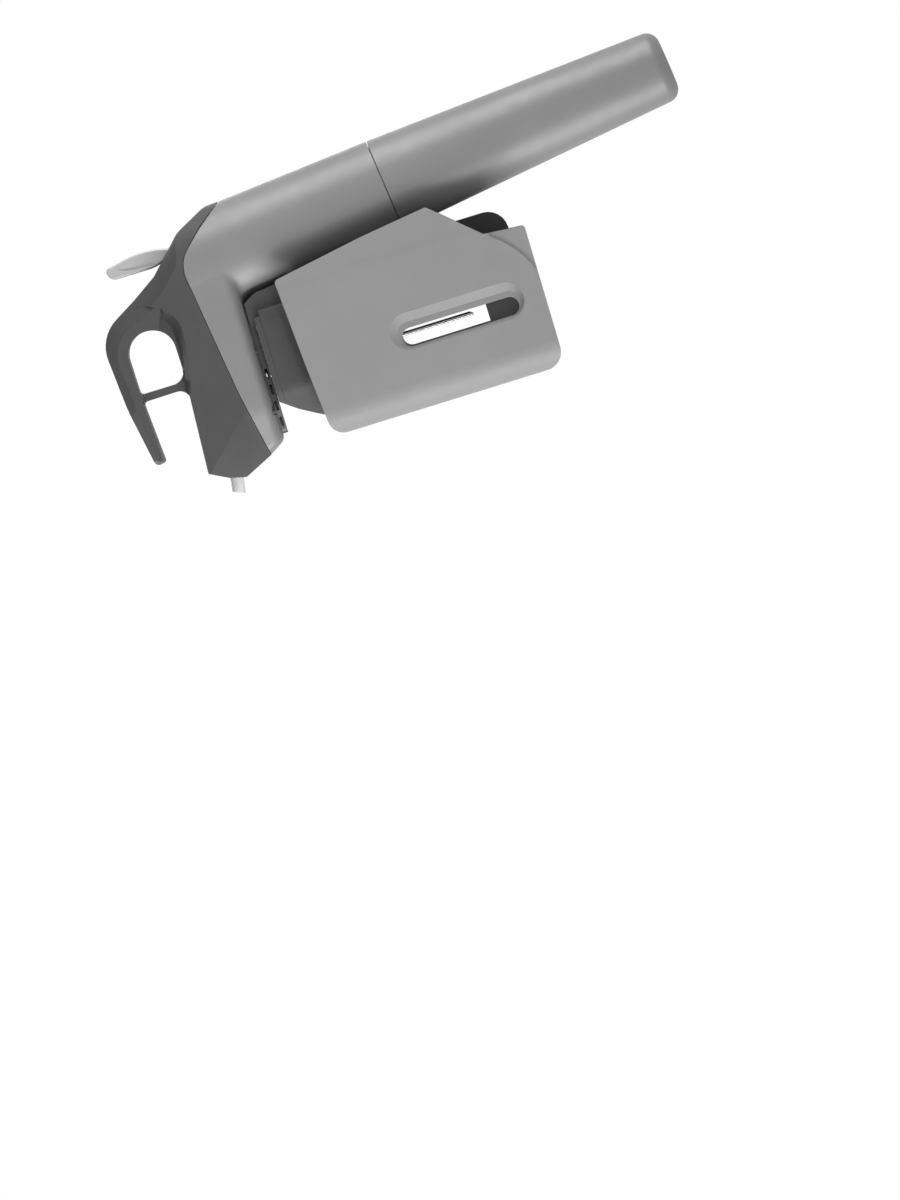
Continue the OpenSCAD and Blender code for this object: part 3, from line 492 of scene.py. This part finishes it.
shell = dict(wall=2, play=0.3, edgeRadius=4.5, leastFlat=0.5, seamGap=0.45, voxel=0.62,
             tubeSpan=(-8, 88), hollowSpan=(2.15, 90), armTop=44, underSpan=(15, 25), noseShift=0.3,
             blendAt=(-31, 19), blendReach=10, blendGain=1.6, blendRepeats=36, surfaceRepeats=14,
             armSide=[[23.6, 20.3, 3], [27.4, 26.6, 0], [27.4, 45, 0], [-46, 45, 0], [-46, 20.3, 0]],
             armPlan=[[-46, -18.6, 0], [10, -13.5, 30], [24, -8.5, 6], [32.4, -5, 1], [32.4, 5, 1],
                      [24, 8.5, 6], [10, 13.5, 30], [-46, 18.6, 0]],
             sections=[(-46, 4, 15), (11, 1, 11), (22, 0.5, 20)],  # start, step and count
             postBack=-25.4, postFront=-18.3, postWidth=10.6, hubRadius=4.6,
             collarRadius=13.5, collarSpan=(-3, 4),
             spoutRadius=3.1, spoutHole=((12, 0, 38.17), (52, 0, 43.79)),
             screwsAt=((12, 8.9), (-10.5, 10.9), (-21.85, 8.1)), screwRadius=2.3, screwTop=21.6)


# all that lies below the seam line, dropped by half the open line
def belowSeam(drop):
    line = [(u, v - drop) for u, v in seamLine]
    nose, back, bottom, side = 60, -90, -200, 60  # all beyond the part
    around = [(nose, line[-1][1]), (nose, bottom), (back, bottom), (back, line[0][1])]
    return slab("belowSeam", around + line, -side, side)


# the height of a line of points at one place along it
def heightOn(line, u):
    for (u1, v1), (u2, v2) in zip(line, line[1:]):
        if min(u1, u2) <= u <= max(u1, u2) and u1 != u2:
            return v1 + (v2 - v1) * (u - u1) / (u2 - u1)
    return line[-1][1]


# cross sections with round lower edges, from the tube to the nose; an inset one is the arm's hollow,
# whose sides are read a little further forward, because they come together towards the nose
def armBlock(inset):
    plan = [(u, v) for u, v in rounded(shell["armPlan"], 12) if v > 0]
    under = sorted((u, v) for u, v in rounded(shell["armSide"], 12) if v < 30)
    noseX = shell["armSide"][1][0]
    front = noseX - inset
    stops = [start + k * step for start, step, count in shell["sections"] for k in range(count)]
    top = shell["armTop"]
    rings = []
    for u in [u for u in stops if u < front] + [front]:
        half = heightOn(plan, u + inset * shell["noseShift"]) - inset
        low = heightOn(under, min(u + inset, noseX - 0.01)) + inset
        edge = min(shell["edgeRadius"] - inset, half - shell["leastFlat"])
        arc = [(u, y, z) for y, z in arcPoints(edge - half, low + edge, edge, range(180, 271, 9))]
        mirrorArc = [(x, -y, z) for x, y, z in reversed(arc)]
        rings.append([(u, -half, top)] + arc + mirrorArc + [(u, half, top)])
    return loft("armBlock", rings)


def makeHeadShell():
    body = tubeCone("head_shell_skin", 0, *shell["tubeSpan"])
    combine(body, armBlock(0), "UNION")
    only(body)
    body.data.remesh_voxel_size = shell["voxel"] * mm
    bpy.ops.object.voxel_remesh()
    # the inner corner between tube and arm is filled out softly
    group = body.vertex_groups.new(name="blend")
    blendX, blendZ = shell["blendAt"]
    for vertex in body.data.vertices:
        away = math.hypot(vertex.co.x / mm - blendX, vertex.co.z / mm - blendZ)
        weight = max(0, 1 - away / shell["blendReach"])
        if weight > 0:
            group.add([vertex.index], min(1, weight * shell["blendGain"]), "REPLACE")
    smoothed(body, "blend", shell["blendRepeats"])
    smoothed(body, None, shell["surfaceRepeats"])
    body.vertex_groups.clear()
    combine(body, belowSeam(shell["seamGap"] / 2), "INTERSECT")
    sliceOff(body, upTube(tube["seam"]), Vector(upTube(0)) - Vector(upTube(1)))

    hollow = tubeCone("hollow", shell["wall"], *shell["hollowSpan"], 96)
    combine(hollow, armBlock(shell["wall"]), "UNION")
    play = shell["play"]
    low, high = shell["underSpan"]
    postHalf = shell["postWidth"] / 2 + play
    collarLow, collarHigh = shell["collarSpan"]
    cut(body, hollow, rod("collarHole", shell["collarRadius"], upTube(collarLow), upTube(collarHigh)),
        rod("hubHole", shell["hubRadius"] + play, (0, 0, low), (0, 0, high)),
        block("postHole", (shell["postBack"] - play, -postHalf, low),
              (shell["postFront"] + play, postHalf, high)),
        rod("spoutHole", shell["spoutRadius"], *shell["spoutHole"]))
    for x, y in shell["screwsAt"]:
        for side in (-1, 1):
            cut(body, rod("screwSeat", shell["screwRadius"], (x, side * y, low),
                          (x, side * y, shell["screwTop"]), sides=32))
    shade(body, 35)
    return finished(body, finishes["satinShell"], "head", "satin_shell", "head_shell")


headShell = makeHeadShell()
print("head shell done,", len(headShell.data.polygons), "faces")


# the cover with its loop handle

cover = dict(front=[[27.4, 26.6, 0], [32.4, 37.3, 1.2], [30.8, 43.6, 1], [27.3, 50.2, 1]],
             top=[[-4.3, 48.1, 0], [-34.5, 48.5, 0], [-38.6, 58, 0], [-45.5, 48.6, 18], [-58.8, 35.2, 14],
                  [-64.9, 23.5, 8], [-65.3, 18, 0]],
             foot=[[-65.3, 5, 0], [27.4, 5, 0]],
             hole=[[-7, 47.8, 5], [-7, 65.1, 1.3], [-28.3, 65.3, 8.4], [-28.3, 48, 8.4]],
             # the loop is widest at its edge outline and ends in the smaller face outline
             loop=[[18.6, 63.4, 0.8], [19.4, 67.2, 2], [-3, 71.1, 60], [-31, 73.17, 14], [-40.3, 57, 24],
                   [-46, 48.2, 0], [-41, 43, 0], [-34.5, 48.9, 0], [-26, 52.4, 0], [-20, 60, 0],
                   [-4.1, 64.9, 1.5]],
             loopFace=[[17.9, 64.2, 0.4], [18, 65.9, 1], [-3, 68, 60], [-28.6, 69.6, 12], [-32.4, 58, 24],
                       [-36, 50, 0], [-35.4, 49.4, 0], [-34.5, 48.9, 0], [-26, 52.4, 0], [-20, 60, 0],
                       [-4.1, 64.9, 1.5]],
             loopHalf=13.1, loopTaper=0.2, loopEdgeHalf=8.9, loopEdgeTaper=0.17, loopRootZ=50,
             root=[[-38, 44, 0], [-12, 44, 0], [-18, 49.5, 0], [-25, 58, 0], [-38, 57, 0]], rootHalf=9.5,
             band=[[-34.5, 48.9, 0], [-31, 45.1, 8], [-25.8, 43.6, 14], [-19, 43.6, 30], [0, 45.6, 0],
                   [27.6, 49.4, 0], [50, 50, 0], [50, 75, 0], [-34.5, 75, 0]],
             bandHalf=7, bandRise=3.4, bandReach=7,
             strut=[[-13, 44, 0], [2, 44, 0], [2, 48.3, 0], [-4.3, 48.1, 4], [-4.1, 64.9, 1.5],
                    [-1.5, 64.8, 0], [-1.5, 67, 0], [-10, 67, 0], [-10, 65.2, 0], [-7, 65.1, 1.3],
                    [-7, 47.8, 5], [-13, 47.7, 0]], strutHalf=4.5,
             inner=[[25.2, 10, 0], [30, 37, 1], [26, 46, 1], [-2, 45, 2], [-31, 44.6, 8],
                    [-41, 51, 10], [-60.6, 30.5, 14], [-63.2, 10, 0]],
             backX=-46.7, backRadius=18.6, backRound=5.5, innerRound=5, roundShape=0.34,
             lean=17.5, turn=7.4, sideAt=14.4, sideZ=32, reach=40, planSpan=(0, 90), wall=2, edge=0.35,
             facetAt=(9.5, 13.6, 30.5), facetNormal=(0.35, 0.93, 0.077),
             triggerSlot=((-57.8, -5.8, 20), (-46.4, 5.8, 60)),
             spoutRadius=2.9, spoutHole=((25, 0, 40), (45, 0, 42.81)))


def leaningCutter(side, inset):
    # the face of a big block leans in and turns towards the nose
    far = 300
    wedge = block("wedge", (-far, 0, -far), (far, 60, far))
    turn = (Matrix.Translation((0, (cover["sideAt"] - inset) * mm, cover["sideZ"] * mm))
            @ Matrix.Rotation(math.radians(-cover["turn"]), 4, "Z")
            @ Matrix.Rotation(math.radians(cover["lean"]), 4, "X"))
    wedge.data.transform(turn)
    return flipped(wedge) if side < 0 else wedge


# the cover from above: the arm's plan in front, a round back
def coverPlan():
    x, radius = cover["backX"], cover["backRadius"]
    back = [[u, v, 0] for u, v in arcPoints(x, 0, radius, range(96, 265, 6))]
    return shell["armPlan"][1:7] + [[x, radius, 0]] + back + [[x, -radius, 0]]


def bandCutter(side):
    # an oblique prism: its sloping floor leaves the dark band beside the hook's gap
    half, rise, reach = cover["bandHalf"], cover["bandRise"], cover["reach"]
    tool = slab("bandCutter", [(u, v + rise) for u, v in rounded(cover["band"])], half, reach)
    fall = rise * (reach - half) / cover["bandReach"]
    for vertex in tool.data.vertices:
        if vertex.co.y > (half + reach) / 2 * mm:
            vertex.co.z -= fall * mm
    return flipped(tool) if side < 0 else tool


# rounds every edge between a face of the first kind and one of the second, told by their normals
def bevelBetween(obj, first, second, width, segments):
    tidyMesh(obj, 0.3)
    sides = {}
    for face in obj.data.polygons:
        for key in face.edge_keys:
            sides.setdefault(key, []).append(face.normal.copy())
    for item in list(obj.data.polygons) + list(obj.data.vertices):
        item.select = False
    for edge in obj.data.edges:
        one, other = sides[tuple(sorted(edge.vertices))]
        edge.select = (first(one) and second(other)) or (first(other) and second(one))
    only(obj)
    bpy.context.tool_settings.mesh_select_mode = (False, True, False)
    bpy.ops.object.mode_set(mode="EDIT")
    bpy.ops.mesh.bevel(offset=width * mm, segments=segments, profile=cover["roundShape"],
                       clamp_overlap=False)
    bpy.context.tool_settings.mesh_select_mode = (True, False, False)
    leaveEdit()


# leans hardly at all, as the two broad sides do
def isFlank(normal):
    return abs(normal.y) > 0.85


# looks back and up, as the faces behind the loop do
def isBack(normal):
    return normal.x < -0.3 and normal.z > 0.02 and abs(normal.y) < 0.2


# the form between the two leaning flanks; an inset gives the hollow inside it
def betweenFlanks(name, outline, inset, roundness, segments):
    body = slab(name, outline, -cover["reach"], cover["reach"])
    for side in (-1, 1):
        cut(body, leaningCutter(side, inset))
    bevelBetween(body, isFlank, isBack, roundness, segments)
    plan = shrunk(coverPlan(), inset) if inset else coverPlan()
    return combine(body, slab("coverPlan", rounded(plan), *cover["planSpan"], plane="XY"), "INTERSECT")


# the flat facet on each side of the nose, cut by a block: a bisect can leave the mesh open here
def cutFacets(body, inset):
    nx, ny, nz = cover["facetNormal"]
    x, y, z = cover["facetAt"]
    far = cover["reach"]
    for side in (-1, 1):
        normal = Vector((nx, side * ny, nz)).normalized()
        at = Vector((x, side * y, z)) - normal * inset
        cutter = block("facet", (-far, -far, 0), (far, far, far))
        turn = normal.to_track_quat("Z", "Y").to_matrix().to_4x4()
        cutter.data.transform(Matrix.Translation(at * mm) @ turn)
        cut(body, cutter)


def makeLoop():
    rootZ = cover["loopRootZ"]
    return chamferedSlab("loop", rounded(cover["loop"]), rounded(cover["loopFace"]),
                         lambda v: cover["loopHalf"] - cover["loopTaper"] * (v - rootZ),
                         lambda v: cover["loopEdgeHalf"] - cover["loopEdgeTaper"] * (v - rootZ))


def makeCover():
    outline = rounded(cover["front"] + cover["top"] + cover["foot"], 10)
    body = betweenFlanks("handle_cover_skin", outline, 0, cover["backRound"], 8)
    cut(body, belowSeam(0))
    cutFacets(body, 0)
    combine(body, slab("root", rounded(cover["root"]), -cover["rootHalf"], cover["rootHalf"]), "UNION")
    cut(body, bandCutter(1), bandCutter(-1))
    combine(body, makeLoop(), "UNION")
    cut(body, slab("hole", rounded(cover["hole"], 10), -cover["reach"], cover["reach"]))
    combine(body, slab("strut", rounded(cover["strut"]), -cover["strutHalf"], cover["strutHalf"]), "UNION")
    inner = betweenFlanks("inner", rounded(cover["inner"]), cover["wall"], cover["innerRound"], 4)
    cutFacets(inner, cover["wall"])
    cut(body, inner, block("triggerSlot", *cover["triggerSlot"]),
        rod("spoutHole", cover["spoutRadius"], *cover["spoutHole"]))
    tidyMesh(body, 0.02)
    softenEdges(body, cover["edge"], 2, 22)
    shade(body, 30)
    return finished(body, finishes["graphiteCover"], "head", "graphite", "handle_cover")


handleCover = makeCover()
print("cover done,", len(handleCover.data.polygons), "faces")


# the capsule cup, screwed to the tube

cup = dict(length=110.97, tipRadius=13.26, edgeRadius=5, radiusPlay=0.05,
           lipStep=2.2, lipTop=0.1, lipFoot=0.5, rim=[(0.3, 0), (0.1, 0.05), (0, 0.25)],  # inwards, down
           boreRadius=13.45, boreDepth=15, boreChamfer=0.3,
           innerRadius=11.7, coneHeight=12, seatRadius=8.4, floor=5.4)


def makeCup():
    top, bottom = -tube["seam"], -cup["length"]
    radius, tip, edge = tube["radius"] - cup["radiusPlay"], cup["tipRadius"], cup["edgeRadius"]
    lip, bore = radius - cup["lipStep"], cup["boreRadius"]
    floor = bottom + cup["floor"]
    profile = [(lip, cup["lipTop"]), (lip, top - cup["lipFoot"]),
               (radius - cup["rim"][0][0], top - cup["lipFoot"])]
    profile += [(radius - inwards, top - down) for inwards, down in cup["rim"]]
    profile += arcPoints(tip - edge, bottom + edge, edge, range(0, -91, -6))
    profile += [(0, bottom), (0, floor), (cup["seatRadius"], floor),
                (cup["innerRadius"], floor + cup["coneHeight"]), (cup["innerRadius"], -cup["boreDepth"]),
                (bore, -cup["boreDepth"]), (bore, top - cup["boreChamfer"]),
                (bore + cup["boreChamfer"], cup["lipTop"])]
    body = turned("capsule_cup_skin", profile, 128)
    body.data.transform(tubeFrame)
    shade(body, 30)
    return finished(body, finishes["satinShell"], "cup", "satin_shell", "capsule_cup")


makeCup()
print("cup done")


# the jaws: the left one is made, the right one is its mirror image

jaw = dict(halfWidth=27, edge=0.9,
           side=[[-26, -69.6, 1], [-24.6, -84.6, 1], [27.5, -84, 7], [27.5, 2.8, 6], [0, 5, 60],
                 [-32.1, 6.9, 1.5], [-37.9, -27, 60], [-41.3, -52.6, 1.2]],
           plan=[[27.5, 8, 0], [27.5, 27, 10.5], [-29, 27, 12], [-43, 21.6, 0], [-43, 19.2, 0],
                 [-28.4, 24.6, 9.6], [25.1, 24.6, 8.1], [25.1, 8, 0]],
           # x, z, width and length of the sight window, of the dish around it and of the dish's floor
           window=(1.55, -52.75, 6.7, 43.5), dish=(-0.7, -52, 13.5, 49.9), dishFloor=(0.6, -52.4, 9.2, 46.2),
           dishDepth=1.7, dishOver=0.02, stepX=4.5, stepZ=-51.2, stepRadius=35.3, stepDepth=1.1)


def stadium(x, z, width, length, steps=16):
    radius = width / 2
    reach = (length - width) / 2
    turns = [180 * k / steps for k in range(steps + 1)]
    return arcPoints(x, z + reach, radius, turns) + arcPoints(x, z - reach, radius, [180 + a for a in turns])


def makeJaw():
    beyond, bottom, top = 60, -100, 20  # all beyond the jaw
    body = slab("jaw_shell_left_skin", rounded(jaw["plan"], 12), bottom, top, plane="XY")
    combine(body, slab("jawSide", rounded(jaw["side"], 10), 0, beyond), "INTERSECT")
    # the dish narrows as it sinks to the window
    outside = jaw["halfWidth"]
    floorY = outside - jaw["dishDepth"]
    dish = slab("dish", stadium(*jaw["dish"]), floorY, outside + jaw["dishOver"])
    deepest = [vertex for vertex in dish.data.vertices if vertex.co.y < (floorY + outside) / 2 * mm]
    for vertex, (x, z) in zip(deepest, stadium(*jaw["dishFloor"])):
        vertex.co.x, vertex.co.z = x * mm, z * mm
    # the lower back corner is a step lower than the flank, up to an arc
    arc = arcPoints(jaw["stepX"], jaw["stepZ"], jaw["stepRadius"], range(215, 270, 3))
    corner = [(arc[-1][0], bottom), (-beyond, bottom), (-beyond, arc[0][1])]
    cut(body, dish, slab("window", stadium(*jaw["window"]), 0, beyond),
        slab("cornerStep", arc + corner, outside - jaw["stepDepth"], beyond))
    tidyMesh(body, 0.3)
    softenEdges(body, jaw["edge"], 3, 35)
    shade(body, 15)
    return body


leftJaw = makeJaw()
rightJaw = flipped(copyOf(leftJaw, "jaw_shell_right_skin"))
finished(leftJaw, finishes["jawPlastic"], "jaw_left", "jaw_plastic", "jaw_shell_left")
finished(rightJaw, finishes["jawPlastic"], "jaw_right", "jaw_plastic", "jaw_shell_right")
print("jaws done,", len(leftJaw.data.polygons), "faces each")


# the slotted plate that closes the arm from below

plate = dict(low=18.45, high=20.35, edge=0.2, hubClearance=5.1, postClearance=0.25,
             corners=[[-26.4, -10.2, 1.5], [10, -8.3, 10], [21.4, -4.2, 2.5],
                      [21.4, 4.2, 2.5], [10, 8.3, 10], [-26.4, 10.2, 1.5]],
             slotX=(-1, 5, 11, 17), slotLength=3.6, slotWidth=1, slotRound=0.3, slotFrom=3.4, slotTo=20)


def makePlate():
    body = slab("under_plate", rounded(plate["corners"], 8), plate["low"], plate["high"], plane="XY")
    play = plate["postClearance"]
    postHalf = shell["postWidth"] / 2 + play
    low, high = shell["underSpan"]
    cut(body, rod("hubHole", plate["hubClearance"], (0, 0, low), (0, 0, high)),
        block("postHole", (shell["postBack"] - play, -postHalf, low),
              (shell["postFront"] + play, postHalf, high)))
    half, roundness = plate["slotLength"] / 2, plate["slotRound"]
    middle = (plate["low"] + plate["high"]) / 2
    low, high = middle - plate["slotWidth"] / 2, middle + plate["slotWidth"] / 2
    for x in plate["slotX"]:
        slot = rounded([[x - half, low, roundness], [x + half, low, roundness],
                        [x + half, high, roundness], [x - half, high, roundness]], 4)
        for side in (-1, 1):
            cut(body, slab("slot", slot, side * plate["slotFrom"], side * plate["slotTo"]))
    softenEdges(body, plate["edge"], 2, 40)
    shade(body, 35)
    # the plate's dark tone is partly painted shade for the gap under the arm
    return finished(body, finishes["darkSteelAndShade"], "head", "steel")


makePlate()
print("plate done")


# the trigger

trigger = dict(width=11, edge=1.1, pivot=(-50.5, 38), hubRadius=3.2, pinHole=1.3,
               armLength=11.9, armWidth=6, armThick=3.6, armEdge=0.5,
               blade=[[-53.6, 37.5, 0], [-52.5, 37, 0], [-49.2, 46.5, 12], [-49.2, 63.2, 3.2],
                      [-53.6, 64.3, 1.7], [-56.9, 48, 30]],
               rib=[[-52.6, 60.5, 0.1], [-50.9, 56, 12], [-50.2, 46, 0.2], [-51, 46, 0.2], [-51.8, 56, 12]],
               ribDepth=0.5, ribOver=3)


def makeTrigger():
    half, armHalf, thickHalf = trigger["width"] / 2, trigger["armWidth"] / 2, trigger["armThick"] / 2
    px, pz = trigger["pivot"]
    body = slab("trigger_skin", rounded(trigger["blade"], 10), -half, half)
    softenEdges(body, trigger["edge"], 4, 50)
    # the rib line is a shallow groove on each flank
    rib = rounded(trigger["rib"], 6)
    low, high = half - trigger["ribDepth"], half + trigger["ribOver"]
    for side in (-1, 1):
        cut(body, slab("groove", rib, side * low, side * high))
    combine(body, rod("hub", trigger["hubRadius"], (px, -half, pz), (px, half, pz)), "UNION")
    arm = block("triggerArm", (px, -armHalf, pz - thickHalf),
                (px + trigger["armLength"], armHalf, pz + thickHalf))
    combine(body, softenEdges(arm, trigger["armEdge"], 3), "UNION")
    cut(body, rod("pinHole", trigger["pinHole"], (px, -2 * half, pz), (px, 2 * half, pz)))
    tidyMesh(body, 0.02)
    shade(body, 28)
    return finished(body, finishes["castSilver"], "trigger", "trigger_silver", "trigger")


makeTrigger()
print("trigger done")


# pieces whose CAD shape only needs its edges broken and its own finish

# node: body, slot, finish and width of the broken edges
brokenEdges = {
    "base_frame": ("base", "graphite", "hoodPlastic", 0.4),
    "base_cap": ("base", "graphite", "hoodPlastic", 0.3),
    "jaw_liner_left": ("jaw_left", "charcoal", "linerPlastic", 0.3),
    "jaw_liner_right": ("jaw_right", "charcoal", "linerPlastic", 0.3),
    "slide_post": ("head", "steel", "brushedSteel", 0.5),
}
# ribs on both sides of the tube's lane close the view between head and base
guide = dict(inner=10.6, outer=12.6,
             side=[[-18.6, 8, 0], [-18.6, 19.8, 0.6], [-27.3, 19.8, 0.6], [-30, 15.3, 2],
                   [-31.4, 2, 1], [-27.6, 2, 0]])

for node, (body, slotName, finishName, width) in brokenEdges.items():
    piece = dressed(node, node + "_skin")
    if node == "base_frame":
        for low, high in ((guide["inner"], guide["outer"]), (-guide["outer"], -guide["inner"])):
            combine(piece, slab("guideRib", rounded(guide["side"], 6), low, high), "UNION")
    softenEdges(piece, width, 2, 40)
    shade(piece, 35)
    finished(piece, finishes[finishName], body, slotName, node)
print("edges broken on", len(brokenEdges), "pieces")


# the studio

studio = dict(floorZ=-0.3, floorY=0.35, floorSize=1.6, floorTone=0.93, floorRough=0.9, fillLight=0.2,
              lampAim=(0, 0, -0.02), lens=400, sensorWidth=36,
              eye=(-0.049, 4.797, -0.064), target=(0.0964, 0, -0.0193), up=(-0.9553, 0, -0.2957))
# place, size and power
lamps = {"topLamp": ((-1.4, 0.3, -0.2), 1.1, 16), "lowLamp": ((1.3, 0.6, 0), 0.9, 16),
         "sideLamp": ((-0.3, 1.4, -0.9), 1.4, 27), "backLamp": ((-0.2, -1.5, 0.6), 1.2, 14)}


def makeFloor():
    deselectAll()
    bpy.ops.mesh.primitive_plane_add(size=studio["floorSize"],
                                     location=(0, studio["floorY"], studio["floorZ"]))
    floor = bpy.context.object
    floor.name = "floor"
    material = bpy.data.materials.new("paleFloor")
    material.use_nodes = True
    tone = studio["floorTone"]
    setInputs(material.node_tree.nodes["Principled BSDF"],
              {"Base Color": (tone, tone, tone, 1), "Roughness": studio["floorRough"]})
    floor.data.materials.append(material)


def makeLamp(name, place, size, power):
    deselectAll()
    bpy.ops.object.light_add(type="AREA", location=place)
    lamp = bpy.context.object
    lamp.name = name
    lamp.data.size = size
    lamp.data.energy = power
    aim = Vector(studio["lampAim"]) - Vector(place)
    lamp.rotation_euler = aim.to_track_quat("-Z", "Y").to_euler()


# white where the camera, glass or metal sees it, and a low fill light otherwise
def makeWorld():
    world = bpy.data.worlds.new("studio")
    bpy.context.scene.world = world
    world.use_nodes = True
    tree = world.node_tree
    rays = tree.nodes.new("ShaderNodeLightPath")
    seen = rays.outputs["Is Camera Ray"]
    for kind in ("Is Transmission Ray", "Is Glossy Ray"):
        either = tree.nodes.new("ShaderNodeMath")
        either.operation = "MAXIMUM"
        tree.links.new(seen, either.inputs[0])
        tree.links.new(rays.outputs[kind], either.inputs[1])
        seen = either.outputs[0]
    backdrop = tree.nodes["Background"]
    backdrop.inputs["Color"].default_value = (1, 1, 1, 1)
    tree.links.new(mapRange(tree, seen, 0, 1, studio["fillLight"], 1), backdrop.inputs["Strength"])


def makeCamera():
    eye, target = Vector(studio["eye"]), Vector(studio["target"])
    ahead = (target - eye).normalized()
    right = ahead.cross(Vector(studio["up"])).normalized()
    up = right.cross(ahead)
    data = bpy.data.cameras.new("camera")
    data.lens = studio["lens"]
    data.sensor_width = studio["sensorWidth"]
    camera = bpy.data.objects.new("camera", data)
    bpy.context.scene.collection.objects.link(camera)
    turn = Matrix((right, up, -ahead)).transposed().to_4x4()
    camera.matrix_world = Matrix.Translation(eye) @ turn
    bpy.context.scene.camera = camera


makeFloor()
for name, (place, size, power) in lamps.items():
    makeLamp(name, place, size, power)
makeWorld()
makeCamera()
bpy.context.scene.view_settings.view_transform = "Standard"
print("studio ready")
